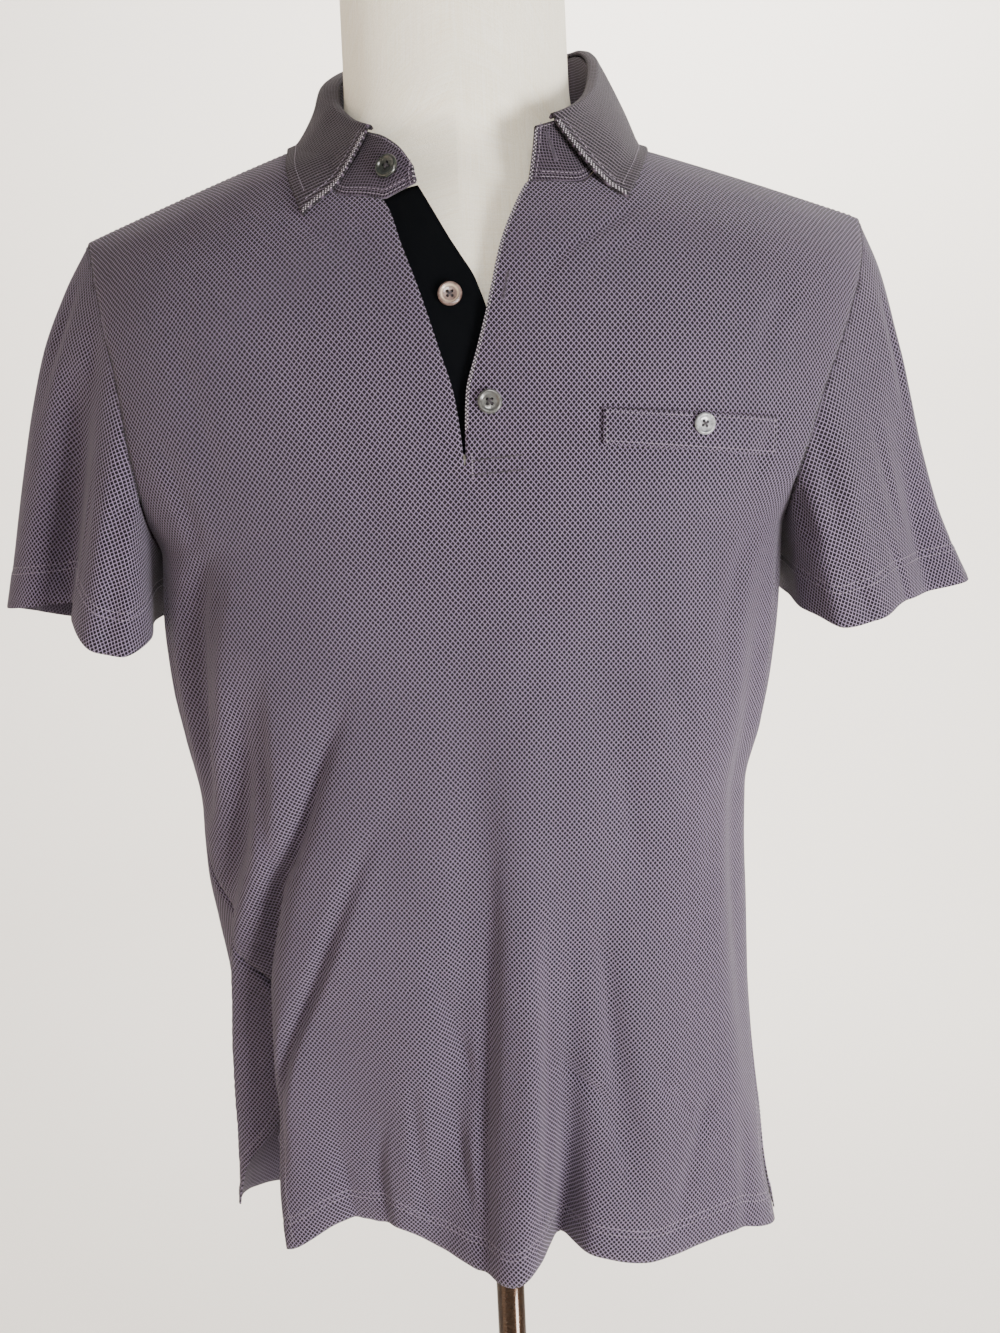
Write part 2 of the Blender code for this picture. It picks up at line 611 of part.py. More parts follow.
def armhole(f, b, side):
    """Points and normals round the armhole, from the shoulder down the front and up the back."""
    cols = HALF_COLS
    points, normals = [], []
    f0 = 0 if side == "left" else f["rows"] * cols
    b0 = 0 if side == "left" else b["rows"] * cols
    order = [(f, f0 + i * cols) for i in range(f["rows"] - 1, HULL_ROWS - 2, -1)]
    order += [(b, b0 + i * cols) for i in range(HULL_ROWS, b["rows"] - 1)]
    for grid, k in order:
        points.append(grid["points"][k])
        normals.append(grid["normals"][k])
    return np.array(points), np.array(normals)


def sleeve_start(loop, normals, own):
    """The sleeve's first ring: edge to edge with the body at the top, beside the body's outer face at the underarm."""
    along = np.roll(loop, -1, axis=0) - np.roll(loop, 1, axis=0)
    across = np.cross(along, normals)
    across /= np.linalg.norm(across, axis=1)[:, None]
    turn = np.sign(np.einsum("ij,ij->i", across, loop.mean(axis=0) - loop))
    alike = np.clip((np.einsum("ij,ij->i", normals, own) + 0.3) / 0.8, 0, 1)[:, None]
    ring = loop + across * turn[:, None] * SLEEVE_GAP * alike + normals * SLEEVE_GAP * 1.4 * (1 - alike)
    facing = normals * alike + own * (1 - alike)
    return ring, facing / np.linalg.norm(facing, axis=1)[:, None]


def share_round(points):
    """Share of the way round a closed loop at which each point lies."""
    step = np.linalg.norm(np.diff(np.vstack([points, points[:1]]), axis=0), axis=1)
    return np.concatenate([[0], np.cumsum(step)[:-1]]) / step.sum()


def hem_ring(table, share):
    """Sleeve hem at each share round the loop. The underarm, half-way, lies between points 8 and 9."""
    loop = np.array(table, float)
    step = np.concatenate([[0], np.cumsum(np.linalg.norm(np.diff(np.vstack([loop, loop[:1]]), axis=0), axis=1))])
    middle = (step[8] + step[9]) / 2
    key = np.where(step <= middle, 0.5 * step / middle, 0.5 + 0.5 * (step - middle) / (step[-1] - middle))
    closed = np.vstack([loop, loop[:1]])
    return smooth(np.column_stack([key, closed]), share)


def sleeve(name, side, f, b, material):
    start, normals = armhole(f, b, side)
    share = share_round(start)
    split = int(np.argmin(start[:, 2]))
    share = np.where(np.arange(len(share)) <= split, share * 0.5 / share[split],
                     0.5 + 0.5 * (share - share[split]) / (1 - share[split]))
    hem = hem_ring(SLEEVE_HEMS[side], share)
    rings = []
    for u in SLEEVE_STEPS:
        ring = start * (1 - u) + hem * u
        centre = ring.mean(axis=0)
        out = ring - centre
        out[:, 2] *= 0.3
        out /= np.linalg.norm(out, axis=1)[:, None]
        off = np.abs(share - np.round(share))
        bow = smooth(SLEEVE_BOW, u)[0][0 if side == "left" else 1]
        push = bow * np.clip(1.2 - off * 8, 0, 1) + 4.0 * np.sin(pi * u) * np.clip(off * 8, 0, 1) * np.clip(3 - off * 8, 0, 1)
        for path in SLEEVE_FOLDS[side]:
            if path[0][0] <= u:
                at, width, depth = smooth(path, u)[0]
                push = push + depth * np.exp(-((share - at) / width) ** 2)
        rings.append(ring + out * push[:, None])
    rings = np.array(rings)
    n, count = rings.shape[:2]
    faces = grid_faces(n, count, closed=True, turned=side == "left")
    own = vertex_normals(rings.reshape(-1, 3), faces)
    rings[0], facing = sleeve_start(start, normals, own[:count])
    own = vertex_normals(rings.reshape(-1, 3), faces)
    own[:count] = facing
    return wall(name, rings.reshape(-1, 3), faces, material, normals=own)


def neckline(f, b):
    """The neck seam from the end of the stand on the left, round the back, to the right."""
    cols = HALF_COLS
    start, finish = FRONT_ROWS.index(NECK_LEFT), FRONT_ROWS.index(NECK_RIGHT)
    line = [np.array(STAND_END)]
    line += [f["points"][i * cols + cols - 1] for i in range(start, f["rows"])]
    line += [b["points"][i * cols + cols - 1] for i in range(b["rows"] - 2, b["split"] - 1, -1)]
    half_b, half_f = b["rows"] * cols, f["rows"] * cols
    line += [b["points"][half_b + i * cols + cols - 1] for i in range(b["split"] + 1, b["rows"] - 1)]
    line += [f["points"][half_f + i * cols + cols - 1] for i in range(f["rows"] - 1, finish - 1, -1)]
    line = np.array(line)
    length = np.concatenate([[0], np.cumsum(np.linalg.norm(np.diff(line, axis=0), axis=1))])
    return length / length[-1], line


def stand(f, b, material):
    key, line = neckline(f, b)
    at = np.linspace(0, 1, STAND_COLS)
    foot = np.stack([np.interp(at, key, line[:, k]) for k in range(3)], axis=1)
    foot[:, 2] += 0.7
    top = smooth(COLLAR_TOP, at)
    rows = [foot, foot * 0.45 + top * 0.55, top]
    middle = np.array([0.0, 5.0, 0.0])
    out = rows[1] - middle
    out[:, 2] = 0
    rows[1] = rows[1] + out / np.linalg.norm(out, axis=1)[:, None] * 0.8
    grid = np.array(rows)
    faces = grid_faces(3, STAND_COLS, turned=True)
    return wall("collar_stand", grid.reshape(-1, 3), faces, material, thickness=1.6)


def leaf(f, b, material):
    at = np.linspace(COLLAR_EDGE[0][0], COLLAR_EDGE[-1][0], LEAF_COLS)
    top = smooth(COLLAR_TOP, at)
    edge = smooth(COLLAR_EDGE, at)
    tangent = np.gradient(top, axis=0)
    out = np.stack([-tangent[:, 1], tangent[:, 0], np.zeros(len(at))], axis=1)
    out = out / np.linalg.norm(out, axis=1)[:, None]
    up = np.array([0.0, 0.0, 1.0])
    roll, swell = smooth(COLLAR_ROLL, at)[:, :1], smooth(COLLAR_ROLL, at)[:, 1:]
    rows = [top - out * 1.5 + up * 2.2, top + out * 0.1 * roll + up * 4.0, top + out * 0.65 * roll + up * 3.8,
            top + out * roll + up * 0.6]
    first = rows[-1]
    bow = sum(np.exp(-((at - end) / 0.05) ** 2)[:, None] * way for end, way in zip((at[0], at[-1]), np.array(LEAF_BOW)))
    for share in (0.3, 0.62, 1.0):
        curve = 4 * share * (1 - share)
        rows.append(first * (1 - share) + edge * share + (out * swell + bow) * curve)
    grid = np.array(rows)
    points = np.vstack([f["points"], b["points"]])
    normals = np.vstack([f["normals"], b["normals"]])
    flat = grid.reshape(-1, 3)
    for i in range(4 * LEAF_COLS, len(flat)):
        k = np.linalg.norm(points - flat[i], axis=1).argmin()
        short = LEAF_CLEAR - (flat[i] - points[k]) @ normals[k]
        if short > 0:
            flat[i] += normals[k] * short
    faces = grid_faces(len(rows), LEAF_COLS)
    return wall("collar_leaf", flat, faces, material, thickness=1.6)


def on_front(x, height, off):
    """A point of the front's surface at this place across and this row height, moved out by off."""
    def at(px, h):
        row = dense_row(h, "front")
        return np.array([px] + [np.interp(px, row[:, 0], row[:, k]) for k in (1, 2)])
    p = at(x, height)
    across = at(x + 2, height) - at(x - 2, height)
    up = at(x, height + 2) - at(x, height - 2)
    normal = np.cross(across, up)
    normal /= np.linalg.norm(normal)
    if normal[1] > 0:
        normal = -normal
    return p + normal * off, normal


def strip(name, table, cols, material, thickness):
    """A flat piece that follows the front: one row per table line of (height, across, off) at each end."""
    grid = []
    for low, left, off_l, high, right, off_r in table:
        grid.append([on_front(left + (right - left) * s, low + (high - low) * s, off_l + (off_r - off_l) * s)[0]
                     for s in np.linspace(0, 1, cols)])
    grid = np.array(grid)
    return wall(name, grid.reshape(-1, 3), grid_faces(len(table), cols), material, thickness=thickness)


def button(name, centre, normal, size, height, material):
    r = size / 2
    profile = [(0, 0), (r * 0.82, 0), (r * 0.97, height * 0.28), (r, height * 0.55), (r * 0.93, height * 0.9),
               (r * 0.82, height), (r * 0.7, height * 0.93), (r * 0.6, height * 0.72), (0, height * 0.66)]
    obj = turned(name, profile, 20, material)
    holes = bpy.data.meshes.new(name + "_holes")
    points, faces = [], []
    for k in range(4):
        cx, cy = r * 0.25 * np.cos(pi / 4 + k * pi / 2), r * 0.25 * np.sin(pi / 4 + k * pi / 2)
        base = len(points)
        for z in (-1.0, height + 1.0):
            points += [(cx + 0.85 * np.cos(a), cy + 0.85 * np.sin(a), z) for a in np.linspace(0, 2 * pi, 9)[:-1]]
        faces += [[base + i, base + (i + 1) % 8, base + 8 + (i + 1) % 8, base + 8 + i] for i in range(8)]
        faces += [[base + i for i in range(8)][::-1], [base + 8 + i for i in range(8)]]
    holes.from_pydata([tuple(np.array(p) / 1000) for p in points], [], faces)
    cutter = bpy.data.objects.new(name + "_holes", holes)
    CUTTERS.objects.link(cutter)
    cutter.hide_render = True
    cutter.display_type = "WIRE"
    cut = obj.modifiers.new("holes", "BOOLEAN")
    cut.operation, cut.solver, cut.object = "DIFFERENCE", "EXACT", cutter
    turn = Vector((0, 0, 1)).rotation_difference(Vector(normal))
    for item in (obj, cutter):
        item.rotation_mode = "QUATERNION"
        item.rotation_quaternion = turn
        item.location = Vector(centre) / 1000.0
    return obj


# ---------------------------------------------------------------- the form, its pole and base
def form(material):
    rings = []
    for height, half, front, back, square in FORM:
        a = np.linspace(0, 2 * pi, 32, endpoint=False)
        s, c = np.sin(a), np.cos(a)
        x = half * np.sign(s) * np.abs(s) ** (2 / square)
        deep = np.where(c > 0, front, back)
        y = -deep * np.sign(c) * np.abs(c) ** (2 / square)
        rings.append(np.stack([x, y, np.full_like(x, height)], axis=1))
    return loft("dress_form", rings, material)


def build():
    cloth = paint("shirt knit", (0.16, 0.11, 0.17), 0.9)
    dark = paint("placket dark", (0.008, 0.01, 0.02), 0.85)
    linen = paint("form linen", (0.78, 0.72, 0.6), 0.9)
    bronze = paint("pole bronze", (0.25, 0.12, 0.03), 0.25, 0.8)
    base_mat = paint("base bronze", (0.2, 0.1, 0.03), 0.35, 0.7)
    horn_dark = paint("button dark", (0.01, 0.02, 0.02), 0.3)
    horn_rose = paint("button copper", (0.2, 0.12, 0.09), 0.3)
    horn_grey = paint("button grey", (0.14, 0.14, 0.14), 0.3)
    horn_pale = paint("button smoke", (0.2, 0.21, 0.22), 0.25)

    f, b = body()
    wall("front", f["points"], f["faces"], cloth, normals=f["normals"])
    wall("back", b["points"], b["faces"], cloth, normals=b["normals"])
    sleeve("sleeve_left", "left", f, b, cloth)
    sleeve("sleeve_right", "right", f, b, cloth)
    stand(f, b, cloth)
    leaf(f, b, cloth)
    strip("under_placket", UNDER_PLACKET, 4, dark, 1.1)
    strip("over_placket", OVER_PLACKET, 4, cloth, 1.1)
    strip("pocket_welt", POCKET_WELT, 8, cloth, 1.1)
    for name, x, height, off, size, tall, mat in BUTTONS:
        centre, normal = on_front(x, height, off)
        if name == "button_stand":
            centre, normal = np.array(STAND_BUTTON), np.array(STAND_BUTTON_FACING)
            normal = normal / np.linalg.norm(normal)
        button(name, centre, normal, size, tall, mat if not isinstance(mat, str) else
               {"rose": horn_rose, "grey": horn_grey, "pale": horn_pale, "dark": horn_dark}[mat])
    form(linen)
    rod = bmesh.new()
    bmesh.ops.create_cone(rod, cap_ends=True, segments=28, radius1=POLE_R / 1000, radius2=POLE_R / 1000,
                          depth=(POLE_TOP - POLE_FOOT) / 1000)
    mesh = bpy.data.meshes.new("pole")
    rod.to_mesh(mesh)
    rod.free()
    mesh.materials.append(bronze)
    pole = bpy.data.objects.new("pole", mesh)
    pole.location.z = (POLE_TOP + POLE_FOOT) / 2000
    PIECES.objects.link(pole)
    turned("base", BASE, 40, base_mat)


build()
print("built", len(PIECES.objects), "pieces")
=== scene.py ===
# %% [markdown]
# A short-sleeved polo shirt hangs open at the neck on a limbless dress form.
# Real knitwear is cut flat and sewn, so every cloth piece here is a thin shell of its own: front, back,
# two sleeves, collar stand, collar leaf, two placket strips and a pocket welt. A shell keeps the openings
# honest: light reaches inside the cuffs, the neck and the hem, as it does on a real shirt.

from math import pi

import bmesh
import bpy
import numpy as np
from mathutils import Matrix, Vector
from mathutils.kdtree import KDTree


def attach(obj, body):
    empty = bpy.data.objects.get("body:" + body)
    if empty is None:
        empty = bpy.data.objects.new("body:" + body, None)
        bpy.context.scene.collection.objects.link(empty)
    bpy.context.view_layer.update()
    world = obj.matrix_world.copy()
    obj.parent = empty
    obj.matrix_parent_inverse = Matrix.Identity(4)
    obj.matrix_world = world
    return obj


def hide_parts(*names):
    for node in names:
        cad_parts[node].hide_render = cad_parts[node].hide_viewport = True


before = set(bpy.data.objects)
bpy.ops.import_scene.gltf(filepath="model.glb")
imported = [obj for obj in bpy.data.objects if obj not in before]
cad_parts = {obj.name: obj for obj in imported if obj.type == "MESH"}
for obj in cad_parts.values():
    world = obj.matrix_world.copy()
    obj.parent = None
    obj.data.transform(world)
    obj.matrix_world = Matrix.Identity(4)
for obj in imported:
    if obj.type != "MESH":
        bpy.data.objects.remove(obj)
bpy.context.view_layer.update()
scene = bpy.context.scene
print("loaded", sorted(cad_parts))

# %% [markdown]
# The camera stands close, about three quarters of a metre away, and looks ten degrees down with a slight
# roll, so the collar spreads and the hem looks small. Its matrix is built from its three directions,
# which is easier to check than three angles.

# %% camera
CAMERA_AT = Vector((0.011, -0.739, 0.841))
PITCH, ROLL = np.radians(10.0), np.radians(2.45)
ahead = Vector((0, np.cos(PITCH), -np.sin(PITCH)))
upward = Vector((0, np.sin(PITCH), np.cos(PITCH)))
sideways = Vector((1, 0, 0))
lens = bpy.data.cameras.new("camera")
lens.lens, lens.sensor_width, lens.sensor_fit = 32.4, 36.0, "AUTO"
lens.clip_start = 0.02
eye = bpy.data.objects.new("camera", lens)
right_hand = sideways * np.cos(ROLL) - upward * np.sin(ROLL)
top_hand = sideways * np.sin(ROLL) + upward * np.cos(ROLL)
turn = Matrix((right_hand, top_hand, -ahead)).transposed()
eye.matrix_world = Matrix.Translation(CAMERA_AT) @ turn.to_4x4()
scene.collection.objects.link(eye)
scene.camera = eye
print("camera", [round(v, 3) for v in eye.location])

# %% [markdown]
# One large soft lamp stands low on the right, so the folds turn from light to shade across the shirt and the
# shoulders stay darker. A weak warm lamp on the left keeps that side brown rather than black. The floor
# rises into a pale round wall, a studio bowl, so no horizon line crosses the picture from any side.

# %% light, floor and wall
def lamp(name, at, aim, size, watts, tint):
    """A soft oblong lamp, unseen itself, that shines from one place towards another."""
    data = bpy.data.lights.new(name, "AREA")
    data.shape, data.size, data.size_y = "RECTANGLE", size[0], size[1]
    data.energy, data.color = watts, tint
    obj = bpy.data.objects.new(name, data)
    obj.location = at
    obj.rotation_euler = (Vector(aim) - Vector(at)).to_track_quat("-Z", "Y").to_euler()
    obj.visible_camera = False
    scene.collection.objects.link(obj)


lamp("key", (0.96, -1.04, 0.42), (0, 0, 0.67), (0.42, 0.5), 41.0, (1.0, 0.985, 0.965))
lamp("side", (-1.5, -1.0, 0.7), (0, 0, 0.75), (0.9, 1.2), 5.0, (1.0, 0.7, 0.48))
lamp("neck", (0.1, -1.3, 1.45), (0, -0.05, 1.08), (0.3, 0.3), 9.0, (1.0, 0.98, 0.95))
lamp("wall", (0.5, 0.9, 2.3), (0.1, 2.6, 0.9), (0.5, 1.6), 180.0, (1.0, 0.97, 0.93))
world = bpy.data.worlds.new("studio")
world.use_nodes = True
sky = world.node_tree.nodes["Background"].inputs
sky["Color"].default_value, sky["Strength"].default_value = (0.95, 0.925, 0.89, 1), 0.37
scene.world = world
FLOOR_R, WALL_R, WALL_TOP, SIDES = 1.7, 2.7, 3.0, 64
profile = [(0.001, 0.0), (FLOOR_R, 0.0)]
for a in np.linspace(0, pi / 2, 13)[1:]:
    profile.append((FLOOR_R + (WALL_R - FLOOR_R) * np.sin(a), (WALL_R - FLOOR_R) * (1 - np.cos(a))))
profile.append((WALL_R, WALL_TOP))
bowl = bpy.data.meshes.new("floor")
around = np.linspace(0, 2 * pi, SIDES + 1)[:-1]
corners = [(r * np.cos(a), r * np.sin(a), h) for r, h in profile for a in around]
bowl.from_pydata(corners, [], [(i + j, i + (j + 1) % SIDES, i + SIDES + (j + 1) % SIDES, i + SIDES + j)
                               for i in range(0, SIDES * (len(profile) - 1), SIDES) for j in range(SIDES)])
bowl.polygons.foreach_set("use_smooth", [True] * len(bowl.polygons))
floor = bpy.data.objects.new("floor", bowl)
floor_paint = bpy.data.materials.new("floor")
floor_paint.use_nodes = True
paint = floor_paint.node_tree.nodes["Principled BSDF"].inputs
paint["Base Color"].default_value, paint["Roughness"].default_value = (0.74, 0.71, 0.67, 1), 0.8
bowl.materials.append(floor_paint)
scene.collection.objects.link(floor)
print("lamps, floor and wall set")

# %% [markdown]
# The shirt's shape starts from measured rings, hem to underarm, and from rows of the yoke above it that end
# on the armhole seam. A monotone curve runs through each column of numbers, so the surface is smooth
# and never swings past a measured width. All measures are millimetres.

# %% a curve through a table
def smooth(table, at):
    """Every column of a table as a smooth curve over its first column, read at the given places."""
    rows = np.asarray(table, float)
    x, y = rows[:, 0], rows[:, 1:]
    rise = np.diff(y, axis=0) / np.diff(x)[:, None]
    before, after = rise[:-1], rise[1:]
    both = before + after
    same = before * after > 0
    slope = np.vstack([rise[:1], np.where(same, 2 * before * after / np.where(same, both, 1), 0), rise[-1:]])
    at = np.atleast_1d(np.clip(at, x[0], x[-1]))
    i = np.clip(np.searchsorted(x, at, side="right") - 1, 0, len(x) - 2)
    step = (x[i + 1] - x[i])[:, None]
    u = ((at - x[i]) / step[:, 0])[:, None]
    return ((2 * u**3 - 3 * u**2 + 1) * y[i] + (u**3 - 2 * u**2 + u) * step * slope[i]
            + (3 * u**2 - 2 * u**3) * y[i + 1] + (u**3 - u**2) * step * slope[i + 1])


def unit(ways):
    """The same directions, each with a length of one."""
    return ways / np.linalg.norm(ways, axis=-1, keepdims=True)


def walked(points, axis=0):
    """How far it is along a line or a grid of points, from its start to each point."""
    first = np.take(points, [0], axis=axis)
    return np.cumsum(np.linalg.norm(np.diff(points, axis=axis, prepend=first), axis=-1), axis=axis)

# %% [markdown]
# The outer line of the torso is a superellipse, a little squarer than an ellipse, since a shirt hangs from
# the shoulder blades and chest. The hem vents open because the back panel's edges turn away from the front's.

# %% measured rings of the body
SQUARE = 2.5                              # 2 is an ellipse, more is squarer
VENT_LEFT, VENT_RIGHT = 468.0, 425.0      # heights where the side seams end in open vents
VENT_BACK = 80.0                          # angle of the back's vent edges at the hem, from the middle front
HEM, HEM_FADE = 357.0, 540.0              # the hem's height, and where its unevenness has faded out
HULL = (
    # height  left   right  front  back  seam_l  seam_r
    (357, 178, 178, 90, 90, 47, 72), (395, 176, 171, 91, 91, 50, 75),
    (425, 173.5, 169, 92, 92, 51, 78), (468, 172, 165.5, 94, 92, 52, 80),
    (510, 172, 163, 96, 92, 56, 83), (560, 175, 161.5, 99, 93, 64, 86),
    (600, 178, 160.5, 102, 94, 72, 88), (635, 178, 161, 105, 96, 80, 90),
    (680, 184, 172, 108, 97, 86, 90), (715, 188.5, 177.5, 110, 98, 89, 90),
    (750, 190, 181, 111, 98, 90, 90), (790, 188, 183, 112, 98, 90, 90),
)
# Rows of the front above the underarm: height at the middle, then where the armhole seam crosses the row
# (across, forward, height) on each side, the depth at the middle, and the row's height at the middle right.
YOKE = (
    # height  across_l forward_l up_l  across_r forward_r up_r  front   mid_r
    (800, 186.5, 30, 797, 181, 30, 797, 112, 800), (815, 186, 52, 812, 179.5, 55, 812, 112, 815),
    (833, 186, 64, 829, 181.5, 69, 829, 112, 833), (851, 187, 69, 847, 187, 72, 847, 112, 851),
    (875, 189, 69, 868, 194, 69, 868, 111, 875), (903, 192, 65, 890, 204, 61, 890, 108, 903),
    (935, 197, 59, 912, 213.5, 50, 911, 101, 935), (975, 203, 47, 934, 222, 38, 932, 86, 973),
    (1011, 210, 29, 956, 228, 23, 952, 60, 1007), (1032, 216, 11.5, 970, 230, 9.5, 966, 25, 1027),
    (1042, 219, 0.05, 974, 229.5, 0.05, 970, 0.1, 1034.5),
)
# The same for the back: depth behind, and the height at the middle of each row.
BACK_YOKE = (
    # height  share_of_forward  back
    (800, 0.95, 98), (815, 0.95, 98), (833, 0.94, 98), (851, 0.93, 98), (877, 0.93, 98), (910, 0.94, 97),
    (953, 0.97, 94), (1000, 1, 85), (1036, 1.1, 66), (1041, 1.1, 28), (1042, 1, 0.1),
)

# %% edges and hem
# Inner edges of the front: the slit, then the neck seam up to the shoulder. Across, by the row's height.
SLIT_EDGES = (
    # height  left    right
    (836, -2.9, -2.1), (851, -4, -1.9), (872, -6.6, -0.6), (895, -13, 6), (912, -17.8, 11),
    (926, -22, 14.5), (950, -30, 20.5), (977, -39, 31), (982, -50, 33.5), (986, -61, 36),
    (991, -66, 64), (1003, -71, 73), (1032, -77.5, 80), (1042, -78, 80),
)
# Hem: how much each place round the hem hangs above or below the hem's height.
HEM_LIFT = (
    # place (mm round the ring from the middle front, minus is the viewer's left)   lift
    (-560, -52), (-430, -50), (-330, -38), (-260, -16), (-215, 2), (-190, 8), (-165, 5), (-145, 2),
    (-105, 19), (-70, 19), (-40, 6), (0, 0), (24, 8), (50, 7), (90, 0), (140, 3),
    (190, -11), (225, -14), (300, -40), (430, -50), (560, -52),
)
BACK_NECK = (
    # height  left  right
    (1036, 0, 0), (1038.6, -50, 50), (1040.2, -66, 67), (1041, -73, 75),
    (1041.6, -76.5, 78.5), (1042, -78, 80),
)

# %% [markdown]
# The folds decide whether this reads as hanging cloth. A simulation would lay them where it likes, so the
# main ones are placed where the shirt has them: each runs through a few places (height, place round
# the ring, half width, depth), is uneven in length and depth, and fades out at its ends. Fine creases are
# sharper: a trough between two low shoulders, which is how slack cloth buckles.

# %% main folds
FOLDS = {
    "middle ridge": ((800, 16, 16, 0), (660, 19, 16, 4), (520, 20, 16, 9), (440, 15, 17, 13), (357, 7, 19, 17)),
    "middle trough": ((720, -6, 12, 0), (600, -10, 13, -4), (480, -22, 15, -10), (357, -44, 20, -14)),
    "right recess": ((600, 44, 10, 0), (500, 40, 10, -6), (420, 38, 10, -16), (357, 34, 11, -26)),
    "right lobe": ((640, 92, 22, 0), (500, 88, 24, 3), (357, 82, 26, 5)),
    "right crease": ((610, 62, 9, 0), (540, 66, 9, -4), (480, 71, 8, -6), (400, 80, 8, 0)),
    "left recess": ((560, -86, 34, 0), (460, -88, 34, -10), (357, -92, 30, -22)),
    "left pleat": ((745, -66, 9, 0), (650, -104, 12, -6), (590, -136, 14, -13), (530, -158, 15, -20),
                   (450, -166, 17, -24), (357, -172, 18, -20)),
    "left ridge": ((620, -160, 14, 0), (560, -176, 15, 5), (450, -186, 15, 6), (357, -190, 15, 2)),
    "far left pleat": ((740, -132, 12, 0), (670, -146, 15, -10), (600, -168, 15, -12), (520, -196, 13, -10),
                       (440, -206, 10, -5), (357, -206, 10, 0)),
    "underarm pleat": ((800, -150, 11, 0), (770, -164, 12, -7), (720, -178, 13, -12), (670, -184, 12, -9),
                       (620, -190, 12, 0)),
    "right soft": ((760, 62, 16, 0), (680, 74, 18, -4), (600, 84, 18, -3), (540, 86, 18, 0)),
    "right side": ((800, 176, 14, 0), (700, 172, 16, -5), (600, 168, 18, -6), (480, 172, 18, -4), (357, 178, 18, 3)),
    "back left": ((760, -300, 26, 0), (640, -318, 28, -9), (500, -332, 30, -16), (357, -340, 32, -22)),
    "back left ridge": ((640, -372, 26, 0), (500, -382, 26, 8), (357, -390, 28, 12)),
    "back middle": ((700, 470, 28, 0), (560, 464, 28, -9), (450, 452, 30, -15), (357, 448, 30, -20)),
    "back right": ((740, 330, 24, 0), (600, 336, 26, -8), (480, 344, 28, -13), (357, 348, 28, -18)),
    "back right ridge": ((620, 396, 24, 0), (480, 396, 26, 7), (357, 396, 28, 10)),
}

